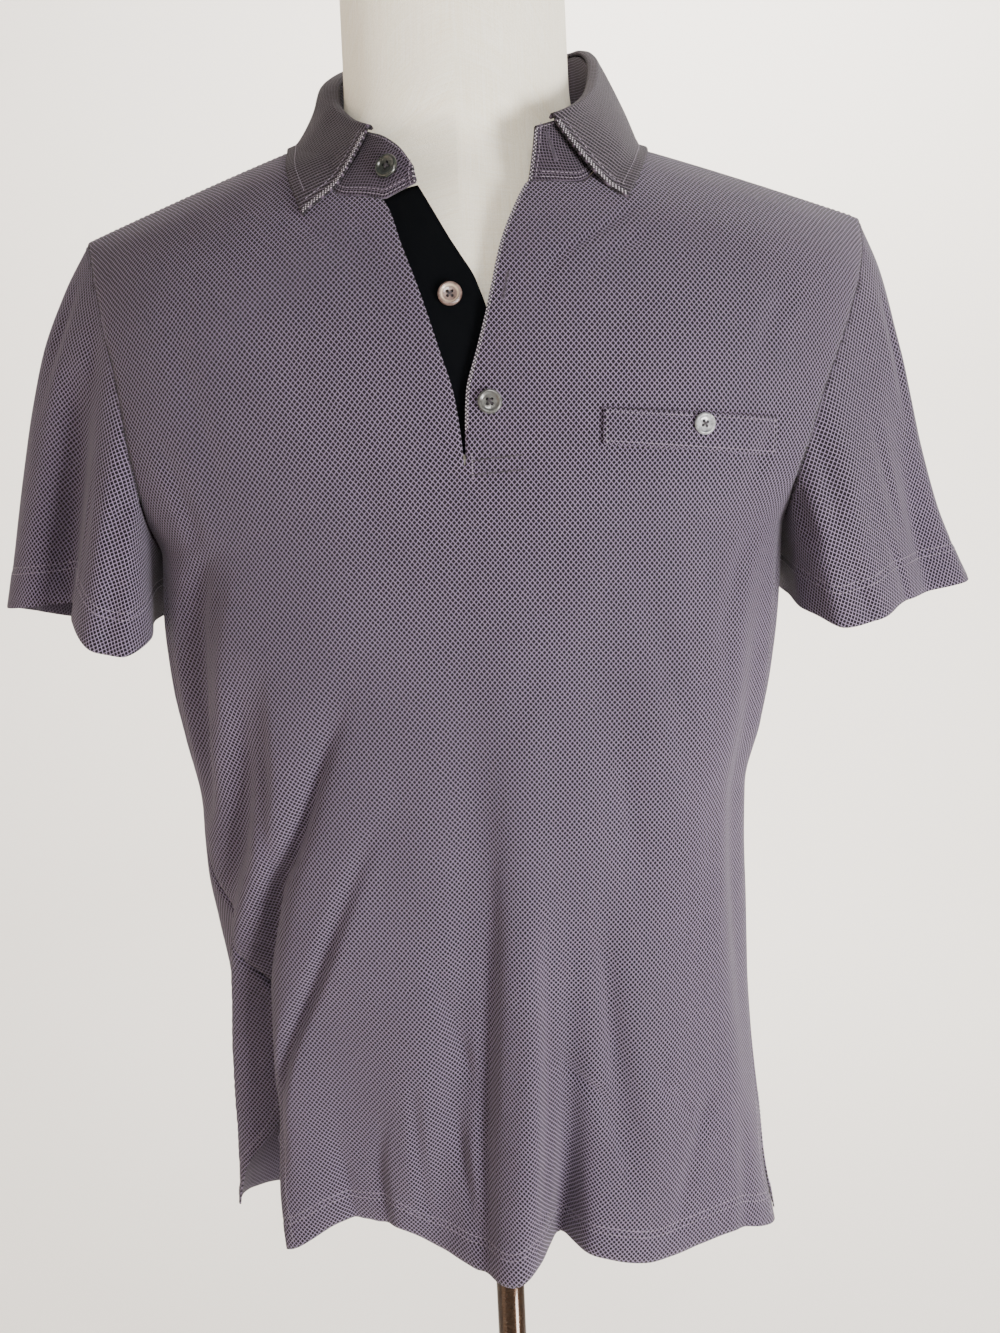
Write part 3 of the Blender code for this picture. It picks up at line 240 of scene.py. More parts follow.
# %% fine creases
# On the front the second number is the distance across; elsewhere it is the place round the ring.
FRONT_CREASES = (
    ((674, -154, 6, 0), (705, -156, 7, -1.6), (738, -152, 7, -2.4), (765, -144, 6, -1.8), (792, -132, 6, 0)),
    ((600, -131, 6, 0), (629, -130, 6, -1.2), (664, -126, 6, -1.8), (704, -124, 6, -1.2), (740, -122, 6, 0)),
    ((490, -149, 6, 0), (528, -147, 6, -2.0), (564, -140, 6.5, -2.8), (597, -130, 7, -3.2), (617, -117, 7, -3.0),
     (646, -104, 6, -2.6), (679, -90, 6, -1.8), (718, -71, 6, 0)),
    ((400, -138, 6, 0), (446, -138, 6, -2.2), (484, -130, 6, -3.0), (515, -119, 7, -3.2), (545, -105, 7, -2.8),
     (574, -92, 7, -2.4), (609, -77, 7, -1.8), (655, -56, 7, 0)),
    ((357, -12, 6, -1.8), (427, -10, 6, -2.6), (472, -7, 6, -3.0), (534, -3, 7, -2.6), (594, 0, 7, -1.6),
     (684, 1, 8, 0)),
    ((387, 23, 5, -1.2), (419, 25, 5, -2.2), (470, 28, 6, -2.6), (532, 30, 6, -2.2), (593, 31, 7, 0)),
    ((466, -13, 5, 0), (504, -22, 5, -1.4), (544, -31, 6, -1.4), (581, -38, 6, 0)),
    ((382, -49, 5, -1.0), (442, -51, 5, -1.8), (492, -50, 5, 0)),
    ((372, -17, 5, -0.8), (425, -24, 5, -1.6), (470, -28, 5, 0)),
    ((470, 71, 5, 0), (503, 68, 5, -1.8), (540, 66, 5, -2.0), (575, 61, 6, 0)),
    ((392, 79, 5, 0), (414, 75, 5, -1.2), (443, 68, 6, -2.2), (469, 58, 6, -2.4), (485, 41, 6, -1.6),
     (503, 30, 6, 0)),
    ((420, 138, 6, 0), (447, 116, 7, -1.8), (475, 96, 7, -1.8), (500, 80, 7, 0)),
    ((610, 86, 6, 0), (643, 81, 6, -1.3), (684, 74, 6, 0)),
    ((680, 10, 8, 0), (706, 20, 9, -1.2), (740, 29, 9, 0)),
    ((640, 118, 10, 0), (690, 110, 10, -1.2), (740, 98, 11, -1.4), (800, 84, 12, 0)),
    ((700, 140, 8, 0), (740, 138, 8, -1.6), (776, 146, 8, -1.8), (806, 158, 8, 0)),
    ((560, 134, 9, 0), (610, 130, 9, -1.0), (660, 134, 9, 0)),
    ((790, -150, 6, 0), (815, -154, 6, -1.6), (845, -162, 6, -1.4), (868, -170, 6, 0)),
    ((800, -128, 8, 0), (850, -138, 8, -1.2), (905, -150, 8, -1.3), (950, -158, 8, 0)),
    ((810, 146, 7, 0), (840, 156, 7, -1.4), (872, 168, 7, 0)),
    ((880, 150, 8, 0), (920, 164, 8, -1.5), (960, 178, 8, 0)),
    ((926, -48, 5, 0), (938, -53, 4.5, -1.3), (954, -65, 4, -1.8), (972, -79, 4, -1.6), (984, -86, 4, 0)),
    ((914, -31, 4, 0), (922, -35, 3.5, -1.2), (946, -52, 3.5, -1.9), (966, -68, 3.5, -1.8), (974, -75, 3.5, 0)),
    ((922, -30, 3, 0), (931, -33, 3, -1.0), (942, -40, 3, -1.4), (962, -51, 3, -1.5), (972, -56, 3, 0)),
    ((912, 38, 3, 0), (924, 40, 3, -1.1), (944, 51, 3.5, -1.9), (956, 65, 3.5, -2.2), (971, 82, 4, -2.0),
     (985, 94, 4, 0)),
    ((926, 60, 4, 0), (942, 72, 4, -1.2), (958, 90, 4.5, -1.4), (970, 104, 5, 0)),
    ((900, -60, 8, 0), (930, -84, 8, -1.0), (960, -104, 8, 0)),
    ((780, -40, 12, 0), (830, -58, 12, -1.0), (880, -84, 12, -1.0), (930, -110, 12, 0)),
    ((720, 40, 14, 0), (770, 56, 14, 1.0), (820, 62, 14, 0)),
    ((600, -60, 12, 0), (640, -52, 12, -1.0), (690, -40, 12, 0)),
    ((365, 104, 6, 0), (392, 108, 7, -1.4), (430, 120, 7, -1.4), (462, 130, 7, 0)),
    ((357, 150, 7, -1.5), (400, 152, 7, -1.8), (450, 148, 7, 0)),
    ((357, -100, 6, -1.5), (395, -102, 6, -1.7), (440, -104, 6, 0)),
    ((357, -76, 6, -1.2), (400, -78, 6, -1.4), (450, -72, 6, 0)),
)
RING_CREASES = (
    ((600, -252, 8, 0), (660, -244, 8, -2.2), (720, -236, 8, -2.6), (790, -224, 8, 0)),
    ((480, -262, 9, 0), (560, -270, 9, -2.4), (640, -262, 9, -2.0), (700, -256, 9, 0)),
    ((357, -300, 10, -3), (430, -296, 10, -3), (520, -286, 10, 0)),
    ((357, -420, 9, -3), (440, -424, 9, -3), (560, -432, 9, -1.6), (640, -440, 9, 0)),
    ((540, -395, 9, 0), (640, -404, 9, -2.0), (760, -420, 9, -2.2), (840, -430, 10, 0)),
    ((700, -350, 9, 0), (770, -340, 9, -2.2), (850, -332, 9, -2.0), (920, -330, 9, 0)),
    ((357, 420, 9, -3), (430, 416, 9, -3), (540, 420, 9, -1.6), (620, 424, 9, 0)),
    ((357, 305, 9, -3), (450, 300, 9, -2.6), (560, 296, 9, -1.8), (640, 290, 9, 0)),
    ((560, 372, 9, 0), (660, 366, 9, -2.2), (780, 352, 9, -2.2), (860, 346, 9, 0)),
    ((560, 250, 8, 0), (640, 244, 8, -2.2), (720, 240, 8, -2.4), (790, 230, 8, 0)),
    ((357, 232, 8, -2), (440, 236, 8, -2.4), (540, 236, 8, -1.2), (600, 232, 8, 0)),
    ((700, 410, 9, 0), (790, 402, 9, -2.0), (880, 396, 9, 0)),
    ((620, 455, 10, 0), (720, 470, 10, -1.8), (820, 462, 10, -1.8), (900, 456, 10, 0)),
    ((640, -204, 7, 0), (690, -206, 7, -2.0), (750, -204, 7, -2.4), (795, -200, 7, 0)),
    ((640, 200, 7, 0), (700, 202, 7, -1.8), (760, 200, 7, -2.0), (795, 198, 7, 0)),
)
SHOULDER = 0.8        # how much the cloth rises beside a crease, as a share of its depth


def pressed(paths, row, gap, shoulder=0.0):
    """How far the folds that cross a row move its cloth out. Each has a place, a half width and a depth there,
    gap(place) is how far each point is from it, and a shoulder is how much the cloth rises beside it."""
    out = 0.0
    for path in map(sorted, paths):
        if path[0][0] <= row <= path[-1][0]:
            place, width, depth = smooth(path, row)[0]
            square = (gap(place) / width) ** 2
            out = out + depth * (1 - shoulder * square) * np.exp(-square)
    return out


print(len(FOLDS), "folds,", len(FRONT_CREASES) + len(RING_CREASES), "creases")

# %% one row of cloth
def edge_to_ring(across, forward, depth):
    """Half width and angle of the ring that passes through a point of the armhole seam."""
    angle = np.arccos(np.clip(forward / depth, 0, 1) ** (SQUARE / 2))
    return across / np.sin(angle) ** (2 / SQUARE), np.degrees(angle)


def yoke_row(height, forward_share, depth, middle_right, yoke):
    """A row above the underarm, as wide as the armhole seam lets it be."""
    _, across_l, forward_l, up_l, across_r, forward_r, up_r, _, _ = yoke
    half_l, seam_l = edge_to_ring(across_l, forward_l * forward_share, depth)
    half_r, seam_r = edge_to_ring(across_r, forward_r * forward_share, depth)
    return height, half_l, half_r, depth, seam_l, seam_r, up_l, up_r, middle_right


def vent_turn(height, vent, seam):
    """How many degrees the back's edge of an open vent stands away from the front's."""
    return max(0.0, vent - height) / (vent - HEM) * (VENT_BACK - seam)


# Rows of each panel: height, half widths, depth, seam angles, seam heights, height at the middle right.
FRONT = [(h, left, right, front, seam_l, seam_r, h, h, h) for h, left, right, front, _, seam_l, seam_r in HULL]
FRONT += [yoke_row(row[0], 1.0, row[7], row[8], row) for row in YOKE]
BACK = [(h, left, right, back, 180 - seam_l - vent_turn(h, VENT_LEFT, HULL[0][5]),
         180 - seam_r - vent_turn(h, VENT_RIGHT, HULL[0][6]), h, h, h)
        for h, left, right, _, back, seam_l, seam_r in HULL]
BACK += [yoke_row(h, share, depth, h - 7.5 if h > 1036 else h, row)
         for (h, share, depth), row in zip(BACK_YOKE, YOKE)]


def ring_point(angle, half, depth):
    """Across and forward on the superellipse, at an angle from straight ahead."""
    s, c = np.sin(angle), np.cos(angle)
    return half * np.sign(s) * np.abs(s) ** (2 / SQUARE), depth * np.sign(c) * np.abs(c) ** (2 / SQUARE)


def quarter(half, depth):
    """Length of a quarter of a ring."""
    x, y = ring_point(np.linspace(0, pi / 2, 121), half, depth)
    return np.hypot(np.diff(x), np.diff(y)).sum()


def slack(height, place):
    """Low uneven waves that no cloth is without, weaker on the chest, where the form fills the shirt."""
    calm = 0.3 + 0.95 * np.clip((720.0 - height) / 250.0, 0, 1)
    return calm * (0.6 * np.sin(place / 13.7 + height / 61.0 + 0.7) * np.sin(height / 83.0 + place / 97.0)
                   + 0.4 * np.sin(place / 8.3 - height / 47.0 + 2.1) * np.sin(height / 51.0 + 0.4 + place / 60.0))


ROW_POINTS = 641


def dense_row(height, facing):
    """One row from its left edge to its right edge: across, back, height, then its length from the middle."""
    table, other = (FRONT, BACK) if facing == "front" else (BACK, FRONT)
    half_l, half_r, depth, seam_l, seam_r, up_l, up_r, mid_r = smooth(table, height)[0]
    far = smooth(other, height)[0][2]
    angle = np.radians(np.linspace(-seam_l, seam_r, ROW_POINTS))
    half = np.where(angle < 0, half_l, half_r)
    x, y = ring_point(angle, half, np.where(np.abs(angle) > pi / 2, far, depth))
    reach, soft = np.abs(x) / np.where(x < 0, np.abs(x[0]), x[-1]), 0.25
    away = np.clip((np.sqrt(reach**2 + soft**2) - soft) / (np.sqrt(1 + soft**2) - soft), 0, 1)
    z = np.where(x < 0, height + (up_l - height) * away, mid_r + (up_r - mid_r) * away)
    place = np.concatenate([[0], np.cumsum(np.hypot(np.diff(x), np.diff(y)))])
    place -= np.interp(0, angle, place)
    if facing == "back":
        whole_l = quarter(half_l, depth) + quarter(half_l, far)
        whole_r = quarter(half_r, depth) + quarter(half_r, far)
        place = np.where(place < 0, -whole_l - place, whole_r - place)
    outward = 1 if facing == "front" else -1
    y = -outward * y
    tangent = np.stack([np.gradient(x), np.gradient(y)], axis=1)
    tangent /= np.linalg.norm(tangent, axis=1)[:, None] + 1e-9
    out = outward * np.stack([tangent[:, 1], -tangent[:, 0]], axis=1)
    moved = (pressed(FOLDS.values(), height, lambda at: place - at) + slack(height, place)
             + pressed(RING_CREASES, height, lambda at: place - at, SHOULDER))
    if facing == "front":
        deeper = 1 + 0.8 * np.clip((740 - height) / 80, 0, 1) * np.clip((70 - x) / 40, 0, 1)
        moved += deeper * pressed(FRONT_CREASES, height, lambda at: x - at, SHOULDER)
    moved *= np.clip((1040.0 - height) / 60.0, 0, 1)
    x, y = x + out[:, 0] * moved, y + out[:, 1] * moved
    near_hem = max(0.0, (HEM_FADE - height) / (HEM_FADE - HEM)) ** 1.5
    z = z + smooth(HEM_LIFT, place)[:, 0] * near_hem
    along = np.concatenate([[0], np.cumsum(np.hypot(np.diff(x), np.diff(y)))])
    along -= np.interp(0, angle, along)
    return np.stack([x, y, z, along], axis=1)


def part_of_row(row, side, inner, count):
    """The row from its outer edge to the place where it reaches the inner edge, in even steps."""
    if side == "left":
        line = row[: max(2, np.searchsorted(row[:, 0], inner))]
    else:
        line = row[min(len(row) - 2, np.searchsorted(row[:, 0], inner)):][::-1]
    end = np.array([inner] + [np.interp(inner, row[:, 0], row[:, k]) for k in (1, 2, 3)])
    line = np.vstack([line, end])
    length = walked(line[:, :3])
    at = np.linspace(0, length[-1], count)
    return np.stack([np.interp(at, length, line[:, k]) for k in range(4)], axis=1)


# %% [markdown]
# Each panel is two half grids that share their middle column below the slit and part above it. The cloth's
# own flat shape goes into a UV map in metres: a first guess from lengths along rows and columns, then relaxed
# until each quad keeps its own size and shape as nearly as its neighbours let it, the way a cutter traces a
# worn piece. The knit is drawn on that map, so it bends with every fold and never stretches.

# %% half panels
HEIGHTS = np.unique(np.round(np.concatenate([
    np.linspace(357, 790, 136), np.linspace(790, 836, 16), np.linspace(836, 977, 46), np.linspace(977, 991, 13),
    np.linspace(991, 1032, 24), np.linspace(1032, 1042, 14)]), 4))
COLS = 68
UNDERARM = int(np.searchsorted(HEIGHTS, 789.99))
rows_of = {facing: [dense_row(h, facing) for h in HEIGHTS] for facing in ("front", "back")}


def lay_flat(points, flat, held=False, rounds=24, steps=40):
    """Relax a grid's flat map: turn each quad to where it lies best, then move all corners to suit, and repeat.
    Held points of the map stay where they are."""
    corners = [(slice(None, -1), slice(None, -1)), (slice(None, -1), slice(1, None)),
               (slice(1, None), slice(1, None)), (slice(1, None), slice(None, -1))]

    def split(grid):
        quads = np.stack([grid[c] for c in corners])
        return quads - quads.mean(axis=0)

    def joined(quads):
        total = np.zeros_like(flat)
        for c, part in zip(corners, quads):
            total[c] += part
        return np.where(held, 0, total)

    quads = split(points)
    right = unit(quads[1] - quads[0] + quads[2] - quads[3])
    facing = unit(np.cross(quads[2] - quads[0], quads[3] - quads[1]))
    across, up = (np.sign(row[..., k].sum()) for k, row in ((0, flat[:, -1] - flat[:, 0]), (1, flat[-1] - flat[0])))
    own = np.stack([(quads * right).sum(-1) * across, (quads * np.cross(facing, right)).sum(-1) * up], axis=-1)
    for _ in range(rounds):
        now = split(flat)
        c = (now * own).sum(axis=(0, -1))
        s = (own[..., 0] * now[..., 1] - own[..., 1] * now[..., 0]).sum(axis=0)
        size = np.hypot(c, s) + 1e-12
        c, s = c / size, s / size
        turned = np.stack([c * own[..., 0] - s * own[..., 1], s * own[..., 0] + c * own[..., 1]], axis=-1)
        left = joined(turned - now)
        way, much = left.copy(), (left ** 2).sum()
        for _ in range(steps):
            pushed = joined(split(way))
            move = much / ((way * pushed).sum() + 1e-12)
            flat, left = flat + move * way, left - move * pushed
            way, much = left + (left ** 2).sum() / (much + 1e-12) * way, (left ** 2).sum()
    return flat


def half_panel(facing, side, edges):
    """Half a panel, outer edge first, one row per height: points and flat coordinates."""
    inner = smooth(edges, HEIGHTS)[:, 0 if side == "left" else 1]
    rows = np.array([part_of_row(row, side, end, COLS) for row, end in zip(rows_of[facing], inner)])
    held = np.zeros((*rows.shape[:2], 1), bool)
    held[HEIGHTS <= edges[0][0], -1] = True
    middle = rows[:, -1]
    climb = np.cumsum([middle[0, 2], *np.hypot(np.diff(middle[:, 2]), np.diff(middle[:, 1]))])
    up = climb[:, None] + rows[:, :, 2] - middle[:, None, 2]
    return rows[:, :, :3], lay_flat(rows[:, :, :3], np.stack([rows[:, :, 3], up], axis=2), held)


print(len(HEIGHTS), "rows,", COLS, "columns in each half; underarm row", UNDERARM)

# %% grids and their meshes
def grid_faces(rows, cols, start=0, turned=False, closed=False):
    """Quads of a grid of points, as an array."""
    i, j = np.meshgrid(np.arange(rows - 1), np.arange(cols if closed else cols - 1), indexing="ij")
    k = (j + 1) % cols
    quads = np.stack([i * cols + j, i * cols + k, (i + 1) * cols + k, (i + 1) * cols + j], axis=2)
    quads = quads.reshape(-1, 4) + start
    return quads[:, ::-1] if turned else quads


def vertex_normals(points, faces):
    """The way each point faces: the mean of the quads around it."""
    way = np.cross(points[faces[:, 2]] - points[faces[:, 0]], points[faces[:, 3]] - points[faces[:, 1]])
    out = np.zeros_like(points)
    for k in range(4):
        np.add.at(out, faces[:, k], way)
    return out / (np.linalg.norm(out, axis=1)[:, None] + 1e-12)


def mesh_piece(name, points, faces, flat=None):
    """An object at the origin from points in millimetres. flat gives its UV map, in metres of cloth."""
    points = np.asarray(points, float)
    faces = [list(map(int, face)) for face in faces]
    used = np.unique(np.concatenate(faces))
    index = np.zeros(len(points), int)
    index[used] = np.arange(len(used))
    mesh = bpy.data.meshes.new(name)
    mesh.from_pydata((points[used] / 1000.0).tolist(), [], [index[face].tolist() for face in faces])
    if flat is not None:
        layer = mesh.uv_layers.new(name="flat")
        corner = np.zeros(len(mesh.loops), int)
        mesh.loops.foreach_get("vertex_index", corner)
        layer.data.foreach_set("uv", (np.asarray(flat, float).reshape(-1, 2)[used] / 1000.0)[corner].ravel())
    mesh.polygons.foreach_set("use_smooth", np.ones(len(mesh.polygons), bool))
    mesh.update()
    obj = bpy.data.objects.new(name, mesh)
    scene.collection.objects.link(obj)
    return obj


def hand_over(obj, node=None):
    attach(obj, "root")
    if node:
        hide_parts(node)


def baked(obj):
    """Turn what an object's modifiers make into its own plain mesh."""
    made = bpy.data.meshes.new_from_object(obj.evaluated_get(bpy.context.evaluated_depsgraph_get()))
    obj.modifiers.clear()
    obj.data = made
    return made


def grid_normals(grid, **kind):
    """The way each point of a grid faces."""
    return vertex_normals(grid.reshape(-1, 3), grid_faces(*grid.shape[:2], **kind)).reshape(grid.shape)


def cloth_piece(name, points, faces, flat, node, outside, inside, thick=1.0):
    """A shell of cloth that stands for its CAD node, with the knit's wrong side inside."""
    obj = mesh_piece("cloth_" + name, points, faces, flat)
    for finish in (outside, inside):
        obj.data.materials.append(finish)
    shell = obj.modifiers.new("cloth", "SOLIDIFY")
    shell.thickness, shell.offset = thick / 1000.0, -1.0
    shell.material_offset, shell.material_offset_rim = 1, 0
    shell.use_even_offset = False
    hand_over(obj, node)
    span = np.ptp(np.asarray(flat, float).reshape(-1, 2), axis=0) / 1000
    area = sum(face.area for face in obj.data.polygons)
    print(f"{name}: {len(obj.data.polygons)} quads, {area:.4f} m2 of cloth, map {span[0]:.3f} x {span[1]:.3f} m")
    return obj

# %% front and back
def two_halves(facing, edges):
    """One panel out of two halves whose middle columns are one up to the top of the edge table's first row."""
    left, flat_l = half_panel(facing, "left", edges)
    right, flat_r = half_panel(facing, "right", edges)
    points = np.vstack([left.reshape(-1, 3), right.reshape(-1, 3)])
    flat = np.vstack([flat_l.reshape(-1, 2), flat_r.reshape(-1, 2)])
    half, n = len(HEIGHTS) * COLS, len(HEIGHTS)
    split = int(np.searchsorted(HEIGHTS, edges[0][0] + 0.01)) - 1
    other = grid_faces(n, COLS, start=half, turned=True)
    row, col = (other - half) // COLS, (other - half) % COLS
    other = np.where((col == COLS - 1) & (row <= split), row * COLS + COLS - 1, other)
    faces = np.vstack([grid_faces(n, COLS), other])
    if facing == "back":
        faces = faces[:, ::-1]
    return {"points": points, "faces": faces, "flat": flat, "split": split,
            "normals": vertex_normals(points, faces)}


def hem_step(up, depth):
    """A hem's turned-up cloth stands a little proud up to this depth."""
    return 0.45 / (1 + np.exp(np.minimum((up - depth) / 1.2, 50)))


def seam_dip(panel):
    """The cloth dips into the side seam, and the folded hem stands a little proud of its stitches."""
    n = len(HEIGHTS)
    for start, vent in ((0, VENT_LEFT), (n * COLS, VENT_RIGHT)):
        block = slice(start, start + n * COLS)
        grid = panel["points"][block].reshape(n, COLS, 3)
        off, up = walked(grid, 1), walked(grid)
        above = np.clip((HEIGHTS - vent) / 12.0, 0, 1) * np.clip((800.0 - HEIGHTS) / 10.0, 0, 1)
        push = -0.9 * np.exp(-(off / 2.2) ** 2) * above[:, None]
        hem = hem_step(up, 18.5) - 0.5 * np.exp(-((up - 18) / 2.2) ** 2)
        push += hem * (1 + 0.5 * np.sin(off / 4.1) * np.sin(off / 13.0 + 1.0))
        grid += panel["normals"][block].reshape(n, COLS, 3) * push[:, :, None]
    return panel


front_panel = seam_dip(two_halves("front", SLIT_EDGES))
back_panel = seam_dip(two_halves("back", BACK_NECK))
print("front", len(front_panel["faces"]), "quads, back", len(back_panel["faces"]), "quads")

# %% [markdown]
# The knit is a light lilac diamond lattice over dark plum hollows, a cell about 2.7 mm wide and 3.1 mm high.
# An image would blur up close, so the lattice is computed from the flat cloth map: two families of slanted
# lines, each line a light yarn with small loops along it. It lives in a node group, because the body, the
# sleeves and the trims all use it with their own sizes. A second group gives every cloth its slow variation.

# %% shader group helpers
def new_group(name, inputs, outputs):
    """A shader group with named sockets: (name, kind, value) for inputs, (name, kind) for outputs."""
    tree = bpy.data.node_groups.new(name, "ShaderNodeTree")
    for label, kind, value in inputs:
        socket = tree.interface.new_socket(label, in_out="INPUT", socket_type=kind)
        if value is not None:
            socket.default_value = value
    for label, kind in outputs:
        tree.interface.new_socket(label, in_out="OUTPUT", socket_type=kind)
    return tree, tree.nodes.new("NodeGroupInput"), tree.nodes.new("NodeGroupOutput")


def feed(tree, socket, value):
    """Link a value that another node gives, or set it; None leaves the socket as it is."""
    if isinstance(value, bpy.types.NodeSocket):
        tree.links.new(value, socket)
    elif value is not None:
        socket.default_value = value


def step(tree, kind, *inputs, **settings):
    """One node with its settings, its inputs fed in order."""
    node = tree.nodes.new("ShaderNode" + kind)
    for key, value in settings.items():
        setattr(node, key, value)
    for socket, value in zip(node.inputs, inputs):
        feed(tree, socket, value)
    return node


def sums(tree, operation, *inputs):
    """What one Math node gives."""
    return step(tree, "Math", *inputs, operation=operation).outputs[0]


def noise(tree, at, size, detail, rough, out=0):
    """Noise at a place, as a value, or as a colour where out says so."""
    return step(tree, "TexNoise", at, None, size, detail, rough).outputs[out]


def scaled(tree, at, by):
    """A vector times another, axis by axis."""
    return step(tree, "VectorMath", at, by, operation="MULTIPLY").outputs[0]


def bumped(tree, shader, height, strength, distance):
    """The height makes small bumps on the surface; distance is their depth in metres."""
    bump = step(tree, "Bump", strength, distance)
    tree.links.new(height, bump.inputs["Height"])
    tree.links.new(bump.outputs[0], shader.inputs["Normal"])


def mixed(tree, share, first, second):
    """The first colour where the share is 0, the second where it is 1."""
    node = step(tree, "Mix", data_type="RGBA", blend_type="MIX", clamp_factor=True)
    for number, value in ((0, share), (6, first), (7, second)):
        feed(tree, node.inputs[number], value)
    return node.outputs[2]


def colour(red, green, blue):
    """A colour as seen on a screen, 0 to 255, turned into the linear values that shaders use."""
    c = np.array([red, green, blue]) / 255.0
    return (*np.where(c <= 0.04045, c / 12.92, ((c + 0.055) / 1.055) ** 2.4).tolist(), 1.0)


# %% knit lattice group
def lines_of(tree, phase, width):
    """1 on the lines where the phase is whole, falling softly to 0."""
    near = sums(tree, "ABSOLUTE", sums(tree, "SUBTRACT", sums(tree, "FRACT", phase), 0.5))
    near = sums(tree, "SUBTRACT", 0.5, near)
    return sums(tree, "SUBTRACT", 1.0, step(tree, "MapRange", near, 0.0, width, 0.0, 1.0,
                                            interpolation_type="SMOOTHSTEP").outputs[0])


def lattice_group():
    """The knit on a flat map in metres: two slanted families of lines, or square ones where Square is 1."""
    tree, into, out = new_group("knit lattice", (
        ("Cloth", "NodeSocketVector", None), ("Across", "NodeSocketFloat", 2.7), ("Along", "NodeSocketFloat", 3.1),
        ("Line", "NodeSocketFloat", 0.3), ("Square", "NodeSocketFloat", 0.0), ("First", "NodeSocketFloat", 0.88),
        ("Second", "NodeSocketFloat", 0.8)),
        (("Yarn", "NodeSocketFloat"), ("Height", "NodeSocketFloat")))
    at = scaled(tree, into.outputs["Cloth"], (1000, 1000, 1000))
    wobble = noise(tree, at, 0.12, 2.0, 0.5, out="Color")
    wobble = step(tree, "VectorMath", wobble, (0.5, 0.5, 0.5), operation="SUBTRACT").outputs[0]
    wobble = scaled(tree, wobble, (1.1, 1.1, 0.0))
    at = step(tree, "VectorMath", at, wobble, operation="ADD").outputs[0]
    xyz = step(tree, "SeparateXYZ", at)
    u = sums(tree, "DIVIDE", xyz.outputs[0], into.outputs["Across"])
    v = sums(tree, "DIVIDE", xyz.outputs[1], into.outputs["Along"])
    tilt = sums(tree, "SUBTRACT", 1.0, into.outputs["Square"])
    one = sums(tree, "ADD", u, sums(tree, "MULTIPLY", v, tilt))
    two = sums(tree, "SUBTRACT", v, sums(tree, "MULTIPLY", u, tilt))

    def family(phase, along, weight):
        """One family of lines: a light yarn with small loops along it."""
        loops = sums(tree, "MULTIPLY", sums(tree, "SINE", sums(tree, "MULTIPLY", along, 4 * pi)), 0.12)
        lines = lines_of(tree, phase, into.outputs["Line"])
        return sums(tree, "MULTIPLY", lines, sums(tree, "ADD", into.outputs[weight], loops))

    first, second = family(one, two, "First"), family(two, one, "Second")
    yarn = sums(tree, "MAXIMUM", first, second)
    tree.links.new(yarn, out.inputs["Yarn"])
    tree.links.new(sums(tree, "ADD", yarn, sums(tree, "MULTIPLY", sums(tree, "MULTIPLY", first, second), 0.3)),
                   out.inputs["Height"])
    return tree


LATTICE = lattice_group()
print("lattice group:", len(LATTICE.nodes), "nodes")

# %% wear and tone group
def tone_group():
    """Slow light and dark drift of worn cloth, and fine fuzz, on object coordinates."""
    tree, into, out = new_group("cloth tone", (
        ("Colour", "NodeSocketColor", (0.5, 0.5, 0.5, 1)), ("Drift", "NodeSocketFloat", 0.12)),
        (("Colour", "NodeSocketColor"), ("Fuzz", "NodeSocketFloat")))
    at = step(tree, "TexCoord").outputs["Object"]
    slow = noise(tree, at, 9.0, 3.0, 0.55)
    fuzz = noise(tree, at, 1400.0, 2.0, 0.6)
    drift = sums(tree, "MULTIPLY", into.outputs["Drift"], 4.0)
    amount = sums(tree, "MULTIPLY", sums(tree, "SUBTRACT", slow, 0.5), drift)
    amount = sums(tree, "ADD", amount, sums(tree, "MULTIPLY", sums(tree, "SUBTRACT", fuzz, 0.5), 0.35))
    toned = step(tree, "HueSaturation", 0.5, 1.0, sums(tree, "ADD", 1.0, amount), 1.0, into.outputs["Colour"])
    tree.links.new(toned.outputs[0], out.inputs["Colour"])
    tree.links.new(fuzz, out.inputs["Fuzz"])
    return tree


TONE = tone_group()


def grouped(tree, group, **inputs):
    """One of the shader groups as a node, with its inputs fed by name."""
    node = tree.nodes.new("ShaderNodeGroup")
    node.node_tree = group
    for label, value in inputs.items():
        feed(tree, node.inputs[label], value)
    return node


def blank(name, rough, sheen=0.0, coat=0.0, specular=0.5):
    """A new material with its plain values set: the material, its node tree and its shader."""
    mat = bpy.data.materials.new(name)
    mat.use_nodes = True
    shader = mat.node_tree.nodes["Principled BSDF"]
    for label, value in (("Roughness", rough), ("Sheen Weight", sheen), ("Sheen Roughness", 0.5),
                         ("Coat Weight", coat), ("Coat Roughness", 0.08), ("Specular IOR Level", specular)):
        shader.inputs[label].default_value = value
    return mat, mat.node_tree, shader


def knit(name, light, dark, across, along, line=0.3, square=0.0, relief=0.35, drift=0.1, first=0.88, second=0.8,
         sheen=0.1, specular=0.22):
    """A knit: light yarn over dark hollows, drawn on the flat cloth map."""
    mat, tree, shader = blank(name, 0.92, sheen=sheen, specular=specular)
    flat = step(tree, "UVMap", uv_map="flat").outputs[0]
    cells = grouped(tree, LATTICE, Cloth=flat, Across=across, Along=along, Line=line, Square=square,
                    First=first, Second=second)
    base = mixed(tree, cells.outputs["Yarn"], dark, light)
    toned = grouped(tree, TONE, Colour=base, Drift=drift)
    tree.links.new(toned.outputs["Colour"], shader.inputs["Base Color"])
    rise = sums(tree, "ADD", cells.outputs["Height"], sums(tree, "MULTIPLY", toned.outputs["Fuzz"], 0.35))
    bumped(tree, shader, rise, 0.8, relief / 1000.0)
    return mat


